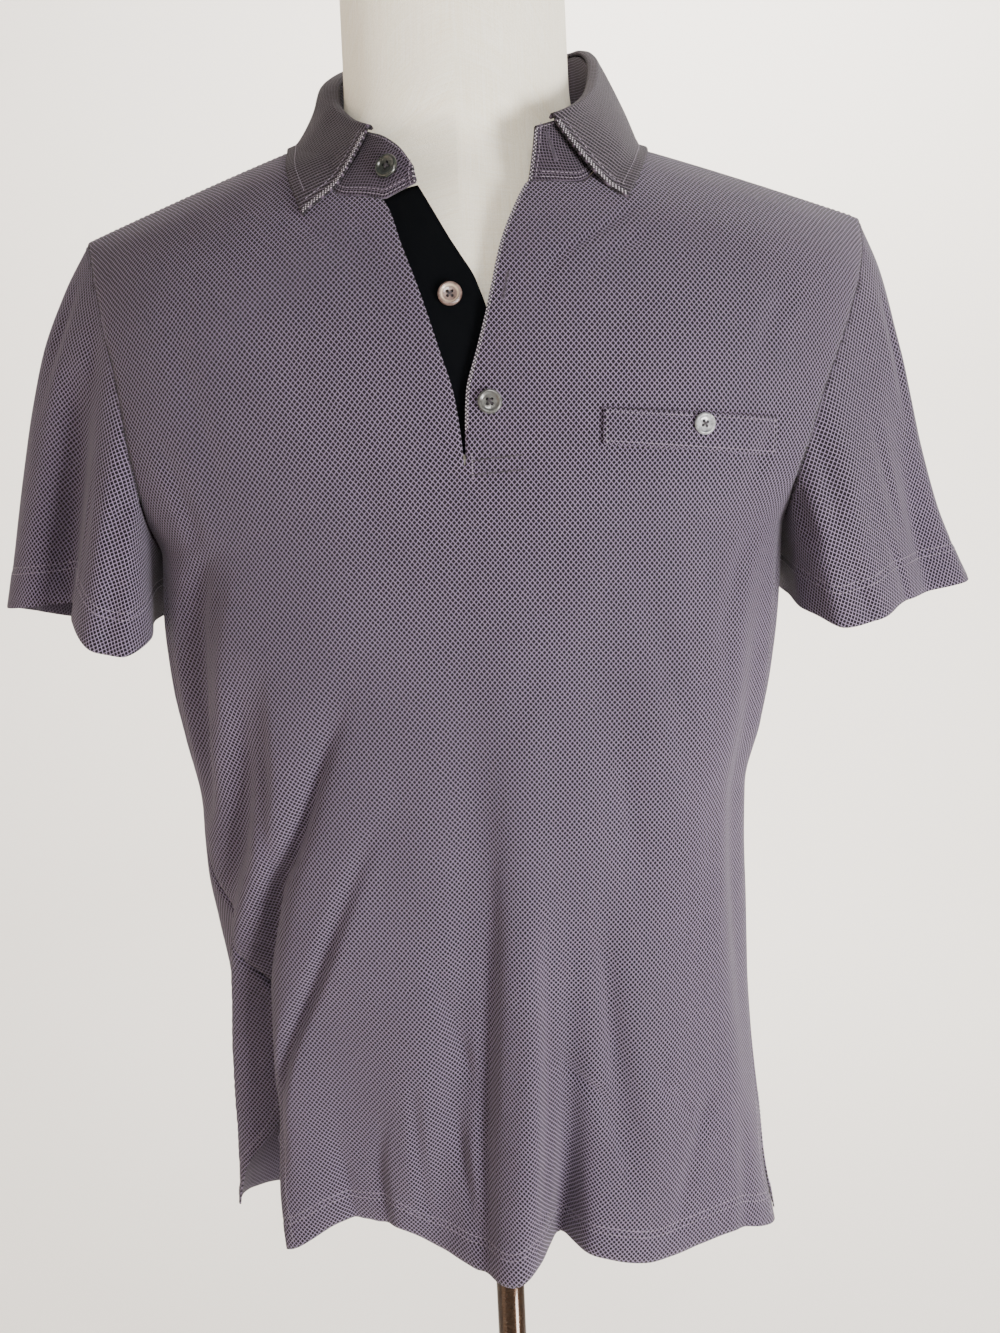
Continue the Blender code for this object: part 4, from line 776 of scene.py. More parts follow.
# %% the shirt's finishes
LILAC, PLUM = colour(147, 132, 161), colour(13, 7, 15)
body_knit = knit("shirt knit", LILAC, PLUM, 2.7, 3.1, line=0.165, first=0.96, second=0.88, relief=0.5)
wrong_side = knit("knit wrong side", colour(80, 70, 84), colour(20, 15, 23), 2.7, 3.1, relief=0.2)
leaf_knit = knit("collar rib", colour(98, 86, 102), colour(11, 7, 12), 2.4, 1.65, line=0.25, square=1.0, relief=0.6,
                 first=0.95, second=0.36)
stand_knit = knit("stand knit", colour(102, 90, 108), colour(12, 7, 13), 1.65, 1.65, line=0.18, square=1.0,
                  relief=0.25)
navy_twill = knit("placket facing", colour(7, 9, 14), colour(3, 4, 5), 0.8, 0.8, line=0.3, relief=0.1, sheen=0.0,
                  specular=0.06)
print("cloth finishes made")

# %% front and back pieces
shirt_front = cloth_piece("front", front_panel["points"], front_panel["faces"], front_panel["flat"], "front",
                          body_knit, wrong_side)
shirt_back = cloth_piece("back", back_panel["points"], back_panel["faces"], back_panel["flat"], "back",
                         body_knit, wrong_side)

# %% [markdown]
# A sleeve is a tube set into the armhole: its first ring is the armhole itself, its last the open cuff. The
# rings between are straight blends, bowed a little outwards, with the deep fold of the raised arm seam and
# the small puckers above the cuff pressed in.

# %% sleeve measures
# Hem ring of each sleeve, from the outer edge round the front, the underarm and the back.
SLEEVE_HEMS = {
    "left": (
        # across  forward  height
        (-290, -4, 762), (-279, -26, 763), (-260, -38, 765), (-240, -34, 766), (-232, -58, 757),
        (-216, -75, 742), (-200, -73, 738), (-190, -52, 745), (-196.5, -18, 751), (-197, 18, 752),
        (-208, 45, 750), (-236, 54, 748), (-264, 44, 749), (-284, 22, 756),
    ),
    "right": (
        (302, 0, 756), (292, -24, 754), (270, -34, 750), (247, -48, 747), (228, -66, 740), (208, -66, 736),
        (196, -52, 742), (189, -36, 746), (190, -12, 749), (191, 18, 751), (206, 46, 750), (238, 56, 748),
        (270, 46, 750), (294, 24, 754),
    ),
}
# How far each sleeve's outer line lies outside the straight line from shoulder to hem.
SLEEVE_BOW = (
    # share  left  right
    (0, 0, 0), (0.15, 7, 3), (0.33, 11, 1), (0.45, 10, -2), (0.6, 7.5, -5), (0.75, 5, -6),
    (0.9, 2, -3), (1, 0, 0),
)
# Folds of the sleeves: share of the length from the armhole, share round the ring, half width (share), depth.
SLEEVE_FOLDS = {
    "left": (((0.22, 0.115, 0.035, 0), (0.45, 0.125, 0.036, -10), (0.75, 0.13, 0.036, -13), (1.0, 0.135, 0.034, -5)),
             ((0.30, 0.84, 0.05, 0), (0.65, 0.83, 0.05, -7), (1.0, 0.82, 0.05, -9))),
    "right": (((0.30, 0.115, 0.035, 0), (0.60, 0.12, 0.036, -6), (0.85, 0.125, 0.036, -9), (1.0, 0.125, 0.036, -7)),
              ((0.45, 0.235, 0.03, 0), (0.75, 0.24, 0.03, -5), (1.0, 0.245, 0.03, -3)),
              ((0.30, 0.84, 0.05, 0), (0.65, 0.85, 0.05, -6), (1.0, 0.86, 0.05, -8))),
}
# Small creases: share of the length from the armhole, share round the ring, half width, depth.
SLEEVE_CREASES = {
    "left": (((0.05, 0.05, 0.016, 0), (0.25, 0.052, 0.016, -1.6), (0.5, 0.05, 0.016, 0)),
             ((0.35, 0.2, 0.014, 0), (0.6, 0.215, 0.014, -1.6), (0.9, 0.22, 0.014, -1.4), (1.0, 0.22, 0.014, -1.0)),
             ((0.5, 0.3, 0.014, 0), (0.8, 0.3, 0.014, -2.0), (1.0, 0.3, 0.014, -1.6)),
             ((0.05, 0.33, 0.02, -1.0), (0.3, 0.3, 0.02, -1.8), (0.6, 0.27, 0.02, 0)),
             ((0.1, 0.72, 0.02, 0), (0.5, 0.7, 0.02, -2.4), (1.0, 0.68, 0.02, -1.0)),
             ((0.2, 0.93, 0.02, 0), (0.6, 0.92, 0.02, -2.4), (1.0, 0.92, 0.02, -1.4))),
    "right": (((0.08, 0.06, 0.018, 0), (0.3, 0.075, 0.018, -1.6), (0.55, 0.09, 0.018, 0)),
              ((0.3, 0.175, 0.016, 0), (0.6, 0.17, 0.016, -1.8), (0.85, 0.165, 0.016, 0)),
              ((0.72, 0.2, 0.012, 0), (0.86, 0.19, 0.012, -1.6), (1.0, 0.185, 0.012, -1.4)),
              ((0.68, 0.29, 0.012, 0), (0.84, 0.28, 0.012, -2.0), (1.0, 0.275, 0.012, -1.2)),
              ((0.02, 0.3, 0.02, -1.0), (0.3, 0.29, 0.02, -1.8), (0.6, 0.28, 0.02, 0)),
              ((0.1, 0.36, 0.018, -1.4), (0.35, 0.35, 0.018, -1.6), (0.6, 0.33, 0.018, 0)),
              ((0.1, 0.72, 0.02, 0), (0.5, 0.7, 0.02, -2.4), (1.0, 0.68, 0.02, -1.0)),
              ((0.2, 0.93, 0.02, 0), (0.6, 0.92, 0.02, -2.4), (1.0, 0.92, 0.02, -1.4))),
}
SLEEVE_GAP = 0.25

# %% sleeve shells
def armhole(side):
    """Points and normals round the armhole, from the shoulder down the front and up the back."""
    n = len(HEIGHTS)
    first = 0 if side == "left" else n * COLS
    down = first + np.arange(n - 1, UNDERARM - 1, -1) * COLS
    back_up = first + np.arange(UNDERARM + 1, n - 1) * COLS
    return (np.vstack([front_panel[key][down], back_panel[key][back_up]]) for key in ("points", "normals"))


def sleeve_start(loop, normals, own):
    """The first ring: edge to edge with the body at the top, beside the body's outer face at the underarm."""
    along = np.roll(loop, -1, axis=0) - np.roll(loop, 1, axis=0)
    across = unit(np.cross(along, normals))
    way = np.sign(np.einsum("ij,ij->i", across, loop.mean(axis=0) - loop))
    alike = np.clip((np.einsum("ij,ij->i", normals, own) + 0.3) / 0.8, 0, 1)[:, None]
    return loop + across * way[:, None] * SLEEVE_GAP * alike + normals * 1.1 * (1 - alike)


def hem_ring(table, share):
    """Sleeve hem at each share round the loop. The underarm, half-way, lies between points 8 and 9."""
    loop = np.array(table, float)
    closed = np.vstack([loop, loop[:1]])
    at = walked(closed)
    middle = (at[8] + at[9]) / 2
    key = np.where(at <= middle, 0.5 * at / middle, 0.5 + 0.5 * (at - middle) / (at[-1] - middle))
    return smooth(np.column_stack([key, closed]), share)


def sleeve(side, rings=46):
    """A sleeve's grid of points, armhole to cuff, and its flat map with one column more."""
    def round_gap(place):
        return (share - place + 0.5) % 1.0 - 0.5

    start, normals = armhole(side)
    gap = np.linalg.norm(np.diff(np.vstack([start, start[:1]]), axis=0), axis=1)
    share = np.concatenate([[0], np.cumsum(gap)[:-1]]) / gap.sum()
    low = int(np.argmin(start[:, 2]))
    share = np.where(np.arange(len(share)) <= low, share * 0.5 / share[low],
                     0.5 + 0.5 * (share - share[low]) / (1 - share[low]))
    hem = hem_ring(SLEEVE_HEMS[side], share)
    off = 8 * np.abs(share - np.round(share))      # 0 on the sleeve's outer line
    beside = np.clip(off, 0, 1) * np.clip(3 - off, 0, 1)
    grid = []
    for u in np.linspace(0, 1, rings):
        ring = start * (1 - u) + hem * u
        out = unit((ring - ring.mean(axis=0)) * (1, 1, 0.3))
        bow = smooth(SLEEVE_BOW, u)[0][0 if side == "left" else 1]
        push = bow * np.clip(1.2 - off, 0, 1) + 4.0 * np.sin(pi * u) * beside
        push += pressed(SLEEVE_FOLDS[side], u, round_gap)
        push += 1.5 * pressed(SLEEVE_CREASES[side], u, round_gap, SHOULDER)
        push += 0.35 * np.sin(share * 61 + u * 4) * np.sin(u * 9 + share * 17) * np.sin(pi * min(u, 0.5))
        grid.append(ring + out * push[:, None])
    grid = np.array(grid)
    own = grid_normals(grid, closed=True, turned=side == "left")
    grid[0] = sleeve_start(start, normals, own[0])
    down = walked(grid)
    left_over = down[-1] - down
    push = -1.3 * np.exp(-(down / 2.1) ** 2) * (down > 0.1) + hem_step(left_over, 24.0)
    push += -0.5 * np.exp(-((left_over - 23.5) / 2.2) ** 2) * (1 + 0.6 * np.sin(share * 170))
    grid += own * push[:, :, None]
    grid, down = np.roll(grid, -low, axis=1), np.roll(down, -low, axis=1)
    closed = np.concatenate([grid, grid[:, :1]], axis=1)
    around = walked(closed, 1)
    flat = np.stack([around - around[:, -1:] / 2, -np.concatenate([down, down[:, :1]], axis=1)], axis=2)
    return grid, lay_flat(closed, flat)


def close_map(obj, end, count):
    """The map's last column is the other edge of the cut, so the knit meets itself at the underarm seam alone."""
    layer = obj.data.uv_layers["flat"].data
    for face in obj.data.polygons:
        if {v % count for v in face.vertices} == {0, count - 1}:
            for i, v in zip(face.loop_indices, face.vertices):
                if v % count == 0:
                    layer[i].uv = end[v // count] / 1000.0


sleeves = {}
for side in ("left", "right"):
    grid, flat = sleeve(side)
    faces = grid_faces(*grid.shape[:2], closed=True, turned=side == "left")
    obj = cloth_piece("sleeve_" + side, grid.reshape(-1, 3), faces, flat[:, :-1], "sleeve_" + side, body_knit,
                      wrong_side)
    close_map(obj, flat[:, -1], grid.shape[1])
    sleeves[side] = grid

# %% [markdown]
# A polo collar is two pieces: a stand that rises from the neck seam, and a leaf folded over its top edge.
# Both follow one measured fold line. The leaf is pushed off the shoulders wherever it would sink into them,
# with a search for the nearest point of the body, so it rests on the shirt as it does in use.

# %% collar measures
STAND_END = (-21.0, -83.8, 981.5)
NECK_LEFT, NECK_RIGHT = 977.0, 986.0      # rows of the front where the neck seam starts
# Fold line of the collar (the top of the stand) and lower edge of the leaf, from the left front end round the
# back to the right front end: share of the stand's length, then across, back, height.
COLLAR_TOP = (
    (0, -22.5, -81.5, 990), (0.02, -29.5, -78, 1000.5), (0.045, -38.5, -72, 1008),
    (0.075, -46.5, -62.5, 1012.5), (0.11, -54, -50, 1018), (0.15, -60.5, -36, 1026),
    (0.19, -66, -22, 1035), (0.28, -69, 9, 1054), (0.37, -61.5, 42, 1071.5),
    (0.44, -40, 66, 1080.5), (0.51, 0, 75, 1080.5), (0.58, 41, 69, 1079.5),
    (0.65, 72.5, 47, 1077.5), (0.73, 78, 14, 1063), (0.815, 74.5, -20, 1041),
    (0.89, 66, -48, 1024), (0.955, 53, -65, 1014), (1, 41.5, -72.5, 1009.5),
)
COLLAR_EDGE = (
    (0.068, -80.8, -76, 965.2), (0.12, -90.5, -55, 990), (0.2, -95, -26, 1010),
    (0.29, -98.5, 12, 1021), (0.37, -86, 54, 1031), (0.44, -54, 87, 1036),
    (0.51, 0, 100, 1038), (0.58, 56, 90, 1036), (0.65, 90, 58, 1031),
    (0.73, 103.5, 16, 1017), (0.81, 104.5, -22, 1003), (0.89, 99, -54, 989),
    (0.968, 88.3, -77, 969.3),
)
# How far the fold rolls out from the stand, and how far the leaf swells between fold and edge, along the collar.
COLLAR_ROLL = (
    (0, 3.8, 2.6), (0.07, 3.8, 2.6), (0.12, 5, 1.5), (0.19, 8, -1), (0.28, 11, -2.4), (0.37, 9, -1.5),
    (0.44, 5.5, 1), (0.51, 4.5, 2.6), (0.6, 5.5, 2.6), (0.68, 6.5, 2.6), (0.8, 6.5, 2.6), (0.89, 5, 2.6),
    (1, 4, 2.6),
)
# The leaf's two front edges bow towards the middle of the chest: left end, right end.
LEAF_BOW = ((3.5, -3.2, -3.0), (-3.0, -1.2, -2.4))
STAND_ROWS, STAND_COLS, LEAF_COLS = 13, 190, 200
FOLD_ROWS = 9                             # rows of the leaf that turn over the stand
LEAF_CLEAR, LEAF_REACH = 2.3, 14.0        # how far the leaf is kept off the shirt, and where that is looked for

# %% collar stand and leaf
def neckline():
    """The neck seam from the end of the stand on the left, round the back, to the right."""
    n, last = len(HEIGHTS), COLS - 1
    start, finish = (int(np.searchsorted(HEIGHTS, h - 0.01)) for h in (NECK_LEFT, NECK_RIGHT))
    half = n * COLS
    line = np.vstack([
        [STAND_END],
        front_panel["points"][np.arange(start, n) * COLS + last],
        back_panel["points"][np.arange(n - 2, back_panel["split"] - 1, -1) * COLS + last],
        back_panel["points"][half + np.arange(back_panel["split"] + 1, n - 1) * COLS + last],
        front_panel["points"][half + np.arange(n - 1, finish - 1, -1) * COLS + last]])
    length = walked(line)
    return length / length[-1], line


def flat_grid(grid):
    """Flat cloth coordinates of a grid of points: along its rows, then across them."""
    u = walked(grid, 1)
    return np.stack([u - u[:, -1:] / 2, walked(grid)], axis=2)


key, line = neckline()
at = np.linspace(0, 1, STAND_COLS)
foot = np.stack([np.interp(at, key, line[:, k]) for k in range(3)], axis=1)
foot[:, 2] += 0.5
top = smooth(COLLAR_TOP, at)
outward = unit((foot * 0.45 + top * 0.55 - (0, 5, 0)) * (1, 1, 0))
stand_grid = np.array([foot * (1 - s) + top * s + outward * 3.2 * s * (1 - s)
                       for s in np.linspace(0, 1, STAND_ROWS)])
stand = cloth_piece("collar_stand", stand_grid.reshape(-1, 3), grid_faces(STAND_ROWS, STAND_COLS, turned=True),
                    flat_grid(stand_grid), "collar_stand", stand_knit, stand_knit, thick=1.5)

at = np.linspace(COLLAR_EDGE[0][0], COLLAR_EDGE[-1][0], LEAF_COLS)
top, edge = smooth(COLLAR_TOP, at), smooth(COLLAR_EDGE, at)
# The soft leaf settles on the back: a little lower and further back than its solid.
behind = np.clip((at - 0.26) / 0.1, 0, 1) * np.clip((0.77 - at) / 0.1, 0, 1)
edge = edge + (behind * behind * (3 - 2 * behind))[:, None] * np.array([0.0, 2.5, -9.0])
run = np.gradient(top, axis=0)
out = unit(np.stack([-run[:, 1], run[:, 0], np.zeros(len(at))], axis=1))
lift = np.array([0.0, 0.0, 1.0])
roll, swell = np.split(smooth(COLLAR_ROLL, at), 2, axis=1)
turned_down = top + out * roll + lift * 0.6
knots = [top - out * 1.5 + lift * 2.2, top + out * 0.1 * roll + lift * 4.0, top + out * 0.65 * roll + lift * 3.8,
         turned_down]
bow = sum(np.exp(-((at - end) / 0.05) ** 2)[:, None] * way for end, way in zip((at[0], at[-1]), np.array(LEAF_BOW)))
knots += [turned_down * (1 - s) + edge * s + (out * swell + bow) * 4 * s * (1 - s) for s in (0.3, 0.62, 1.0)]
shares = (0.0, 0.06, 0.12, 0.2, 0.44, 0.7, 1.0)
table = np.column_stack([shares, np.array(knots).reshape(len(knots), -1)])
leaf_rows = np.concatenate([np.linspace(0, 0.2, FOLD_ROWS), np.linspace(0.23, 1.0, 26)])
leaf_grid = smooth(table, leaf_rows).reshape(len(leaf_rows), len(at), 3)
skin, skin_normal = (np.vstack([front_panel[key], back_panel[key]]) for key in ("points", "normals"))
nearest = KDTree(len(skin))
for i, p in enumerate(skin):
    nearest.insert(p, i)
nearest.balance()
for p in leaf_grid[FOLD_ROWS:].reshape(-1, 3):      # views into the grid, so moving p moves the leaf
    near = nearest.find(p)[1]
    short = LEAF_CLEAR - float((p - skin[near]) @ skin_normal[near])
    if short > 0 and np.linalg.norm(p - skin[near]) < LEAF_REACH:
        p += skin_normal[near] * short
leaf = cloth_piece("collar_leaf", leaf_grid.reshape(-1, 3), grid_faces(len(leaf_rows), LEAF_COLS),
                   lay_flat(leaf_grid, flat_grid(leaf_grid)), "collar_leaf", leaf_knit, stand_knit, thick=1.6)
print("collar: stand", stand_grid.shape[:2], "leaf", leaf_grid.shape[:2])

# %% [markdown]
# The placket's two strips and the pocket's welt lie on the front. A helper reads any point of the front's
# surface from its rows, so a strip is a grid of such points moved a little off the cloth.

# %% strip measures
# Strips that follow the front, one line per row: row height, across and how far off the front at each end.
UNDER_PLACKET = (
    # left end           right end
    (842, -14, -3.9, 842, 12, -4), (862, -16, -3.4, 862, 12, -4), (884, -20, -2.8, 884, 13, -4),
    (906, -27, -2.3, 906, 13.5, -4), (930, -36, -2.3, 930, 7.5, -3.9), (954, -46, -2.3, 954, -6, -3.2),
    (980.5, -55, -2.3, 984, -21.3, -3),
)
OVER_PLACKET = (
    (838, -1.3, -2.2, 838, 28, -2.2), (862, -0.6, -2.2, 862, 29, -2.2), (884, 3.4, -2.2, 884, 32, -2.2),
    (906, 10.2, -2.2, 906, 38.5, -2.2), (930, 16.6, -2.2, 930, 45, -2.2), (954, 22.8, -2.2, 954, 51.5, -2.2),
    (979, 33.2, -2.2, 975, 60, -2.2),
)
POCKET_WELT = (
    (845, 68.7, 1.75, 838, 163.5, 1.75), (854.5, 69, 1.75, 848.5, 164, 1.75), (864, 69.5, 1.75, 859, 164, 1.75),
)
REACH, PER_MM = 235, 2      # the front's rows are read this far to each side, at so many places a millimetre
places = np.linspace(-REACH, REACH, 2 * REACH * PER_MM + 1)
FRONT_ROWS = np.array([np.stack([np.interp(places, row[:, 0], row[:, k]) for k in range(3)], axis=1)
                       for row in rows_of["front"]])


def on_front(x, height):
    """The front's surface at this place across and this row height, and the way it faces there."""
    def at(px, h):
        i = np.clip(np.searchsorted(HEIGHTS, h) - 1, 0, len(HEIGHTS) - 2)
        s = (h - HEIGHTS[i]) / (HEIGHTS[i + 1] - HEIGHTS[i])
        k = np.clip((px + REACH) * PER_MM, 0, len(places) - 2)
        j = k.astype(int)
        r = (k - j)[..., None]
        low = FRONT_ROWS[i, j] * (1 - r) + FRONT_ROWS[i, j + 1] * r
        high = FRONT_ROWS[i + 1, j] * (1 - r) + FRONT_ROWS[i + 1, j + 1] * r
        return low * (1 - s[..., None]) + high * s[..., None]
    x, height = np.broadcast_arrays(np.asarray(x, float), np.asarray(height, float))
    across = at(x + 2.5, height) - at(x - 2.5, height)
    up = at(x, height + 4) - at(x, height - 4)
    return at(x, height), unit(np.cross(across, up))


def strip_grid(table, rows, cols):
    """Grid of a strip: each table line holds height, across and off at its left end, then at its right end."""
    keys = np.linspace(0, 1, len(table))
    ends = smooth(np.column_stack([keys, table]), np.linspace(0, 1, rows))
    s = np.linspace(0, 1, cols)
    height, x, off = (ends[:, k:k + 1] * (1 - s) + ends[:, k + 3:k + 4] * s for k in range(3))
    point, normal = on_front(x, height)
    return point + normal * off[..., None], normal


strips = {}
for name, table, size, finish, cut in (("under_placket", UNDER_PLACKET, (90, 34), navy_twill, (0.032, 0.14)),
                                       ("over_placket", OVER_PLACKET, (90, 34), body_knit, (0.03, 0.14)),
                                       ("pocket_welt", POCKET_WELT, (22, 96), body_knit, (0.096, 0.021))):
    grid, normal = strip_grid(table, *size)
    flat = flat_grid(grid)
    if name != "under_placket":      # a groove under the stitches, and a rounded edge
        edge = np.minimum(np.minimum(flat[..., 0] - flat[:, :1, 0], flat[:, -1:, 0] - flat[..., 0]),
                          np.minimum(flat[..., 1], flat[-1:, :, 1] - flat[..., 1]))
        swell = 0.25 - 0.35 * np.exp(-((edge - 2.2) / 0.9) ** 2) - 0.5 * np.exp(-(edge / 0.6) ** 2)
        grid = grid + normal * swell[..., None]
    obj = cloth_piece(name, grid.reshape(-1, 3), grid_faces(*size), flat, name, finish, finish)
    strips[name] = grid
print("strips", list(strips))

# %% [markdown]
# The dress form is one smooth stuffed body: rings from foot to neck, covered in ivory linen. Linen is a
# plain weave, so its finish is two sets of fine threads, uneven in width, over a warm white.

# %% form measures
# Rings of the dress form, foot to neck: height, half width, depth in front and behind, squareness.
FORM = (
    # height  half   front  back  square
    (432, 118, 56, 62, 2.2), (470, 128, 64, 68, 2.2), (520, 134, 74, 72, 2.2),
    (600, 140, 84, 76, 2.2), (680, 150, 94, 82, 2.2), (750, 160, 102, 88, 2.3),
    (800, 167, 106.5, 94, 2.35), (850, 173, 105.8, 95.5, 2.35), (890, 180, 102.5, 94.5, 2.25),
    (920, 187, 97, 91, 2.05), (945, 192, 90, 87, 1.75), (965, 193, 81, 81, 1.5),
    (985, 177, 71, 73, 1.32), (1000, 134, 62, 64, 1.4), (1014, 84, 57, 57.5, 1.6),
    (1021, 72, 56.5, 57, 1.85), (1030, 66.5, 57, 57, 2.1), (1050, 64.5, 56.5, 57, 2.1),
    (1085, 64, 56.5, 57, 2.1), (1112, 63.5, 56, 56.5, 2.1), (1121, 60.5, 53, 53.5, 2.1),
    (1125, 53, 46, 46.5, 2.1),
)

# %% linen and form
def weave_group():
    """Plain weave on a map: threads over and under, uneven in width."""
    tree, into, out = new_group("plain weave", (("At", "NodeSocketVector", None), ("Pitch", "NodeSocketFloat", 0.55)),
                                (("Thread", "NodeSocketFloat"), ("Slub", "NodeSocketFloat")))
    at = scaled(tree, into.outputs["At"], (1000, 1000, 1000))
    xyz = step(tree, "SeparateXYZ", at)
    turn_rate = sums(tree, "DIVIDE", 2 * pi, into.outputs["Pitch"])
    waves = [sums(tree, "SINE", sums(tree, "MULTIPLY", xyz.outputs[k], turn_rate)) for k in (0, 1)]
    thread = sums(tree, "MULTIPLY", *waves)
    long_x, long_y = (noise(tree, scaled(tree, at, by), 1.0, 2.0, 0.5) for by in ((0.03, 1.6, 1), (1.6, 0.03, 1)))
    tree.links.new(thread, out.inputs["Thread"])
    tree.links.new(sums(tree, "ADD", long_x, long_y), out.inputs["Slub"])
    return tree


WEAVE = weave_group()
linen, tree, shader = blank("form linen", 0.88, sheen=0.08, specular=0.3)
woven = grouped(tree, WEAVE, At=step(tree, "UVMap", uv_map="flat").outputs[0], Pitch=0.75)
slub = step(tree, "MapRange", woven.outputs["Slub"], 0.7, 1.3, 0.0, 1.0).outputs[0]
base = mixed(tree, slub, colour(244, 235, 212), colour(255, 251, 238))
toned = grouped(tree, TONE, Colour=base, Drift=0.03)
tree.links.new(toned.outputs["Colour"], shader.inputs["Base Color"])
bumped(tree, shader, sums(tree, "ADD", woven.outputs["Thread"], woven.outputs["Slub"]), 0.5, 0.00018)

heights = np.unique(np.concatenate([np.linspace(432, 1014, 120), np.linspace(1014, 1112, 30),
                                    np.linspace(1112, 1125, 10)]))
RING = 97             # points round the form, the last on the first
rings = []
angle = np.linspace(0, 2 * pi, RING)
for h, (half, front_deep, back_deep, square) in zip(heights, smooth(FORM, heights)):
    s, c = np.sin(angle), np.cos(angle)
    x = half * np.sign(s) * np.abs(s) ** (2 / square)
    y = -np.where(c > 0, front_deep, back_deep) * np.sign(c) * np.abs(c) ** (2 / square)
    rings.append(np.stack([x, y, np.full_like(x, h)], axis=1))
rings = np.array(rings)
points, faces = rings.reshape(-1, 3), grid_faces(len(heights), RING).tolist()
faces += [list(range(RING - 1))[::-1], [(len(heights) - 1) * RING + i for i in range(RING - 1)]]
torso = mesh_piece("linen_form", points, faces, np.stack([walked(rings, 1), walked(rings)], axis=2))
join = bmesh.new()
join.from_mesh(torso.data)
bmesh.ops.remove_doubles(join, verts=join.verts, dist=1e-6)
join.to_mesh(torso.data)
join.free()
torso.data.materials.append(linen)
hand_over(torso, "dress_form")
print("form", len(torso.data.polygons), "faces")

# %% [markdown]
# The pole and its disc are turned metal with a warm brown lacquer. A turned shape is a profile spun round
# the axis, and the lacquer is a coat over a dark golden base with faint brushed rings.

# %% pole and base
def turn_to(facing):
    """The rotation that turns straight up to this direction."""
    return np.array(Vector((0, 0, 1)).rotation_difference(Vector(facing)).to_matrix())


def lathe(name, profile, count=64, at=(0, 0, 0), facing=(0, 0, 1)):
    """A profile of (radius, height) pairs, bottom to top, spun round an axis. Millimetres."""
    angle = np.linspace(0, 2 * pi, count, endpoint=False)
    inner = [p for p in profile if p[0] > 1e-6]
    points = np.array([[(r * np.cos(a), r * np.sin(a), h) for a in angle] for r, h in inner]).reshape(-1, 3)
    faces = grid_faces(len(inner), count, closed=True).tolist()
    for end, row in ((0, 0), (-1, len(inner) - 1)):
        ring = [row * count + i for i in range(count)]
        if profile[end][0] <= 1e-6:
            points = np.vstack([points, [(0, 0, profile[end][1])]])
            fan = [[ring[i], ring[(i + 1) % count], len(points) - 1] for i in range(count)]
            faces += [t[::-1] for t in fan] if end == 0 else fan
        else:
            faces.append(ring[::-1] if end == 0 else ring)
    return points @ turn_to(facing).T + np.array(at, float), faces


def metal(name, dark, light, rough):
    """Brown lacquer over brushed metal, cloudy between two tones."""
    mat, tree, shader = blank(name, rough, coat=0.6)
    at = step(tree, "TexCoord").outputs["Object"]
    cloud = noise(tree, at, 14.0, 4.0, 0.6)
    fine = scaled(tree, at, (300, 300, 2600))
    brush = noise(tree, fine, 1.0, 2.0, 0.6)
    tree.links.new(mixed(tree, cloud, dark, light), shader.inputs["Base Color"])
    shader.inputs["Metallic"].default_value = 0.75
    rub = step(tree, "MapRange", brush, 0.3, 0.7, rough - 0.06, rough + 0.1).outputs[0]
    tree.links.new(rub, shader.inputs["Roughness"])
    bumped(tree, shader, brush, 0.15, 0.00003)
    return mat


for name, node, slot_name, profile, finish in (
        ("bronze_pole", "pole", "pole_bronze", ((9.5, 12.4), (9.5, 20), (9.5, 431.6)),
         metal("pole bronze", colour(34, 18, 7), colour(56, 35, 16), 0.22)),
        ("bronze_base", "base", "base_bronze",
         ((0, 0), (147.6, 0), (149.2, 0.5), (150, 1.6), (150, 4.8), (149.4, 6.1), (147.5, 7.0), (60, 10.4),
          (22, 11.8), (16, 12.0), (0, 12.0)), metal("base bronze", colour(54, 31, 13), colour(80, 50, 24), 0.3))):
    points, faces = lathe(name, profile, count=72)
    obj = mesh_piece(name, points, faces)
    obj.data.materials.append(finish)
    for face in obj.data.polygons:
        face.use_smooth = len(face.vertices) == 4
    hand_over(obj, node)
print("pole and base set")

# %% [markdown]
# The buttons are moulded horn-like discs with a raised rim, a sunk middle and four thread holes. One profile
# is spun for each, real holes are cut through it, and crossed threads hold it. The material swirls two
# tones and has a thin clear coat, as polished horn does.

# %% button finish
def horn(name, dark, light, scale, pale_ring=None):
    """Two swirled tones under a clear coat, with a paler ring where the piece has one marked."""
    mat, tree, shader = blank(name, 0.32, coat=0.7)
    at = step(tree, "TexCoord").outputs["Object"]
    bend = noise(tree, at, scale, 3.0, 0.6, out="Color")
    bend = scaled(tree, bend, (0.004, 0.004, 0.004))
    at = step(tree, "VectorMath", at, bend, operation="ADD").outputs[0]
    swirl = noise(tree, at, scale * 2.2, 4.0, 0.62)
    share = step(tree, "MapRange", swirl, 0.36, 0.64, 0.0, 1.0).outputs[0]
    base = mixed(tree, share, dark, light)
    if pale_ring:
        ring = step(tree, "Attribute", attribute_name="ring").outputs["Fac"]
        base = mixed(tree, ring, base, pale_ring)
    tree.links.new(base, shader.inputs["Base Color"])
    tree.links.new(step(tree, "MapRange", swirl, 0.3, 0.7, 0.26, 0.42).outputs[0], shader.inputs["Roughness"])
    bumped(tree, shader, swirl, 0.2, 0.00005)
    return mat


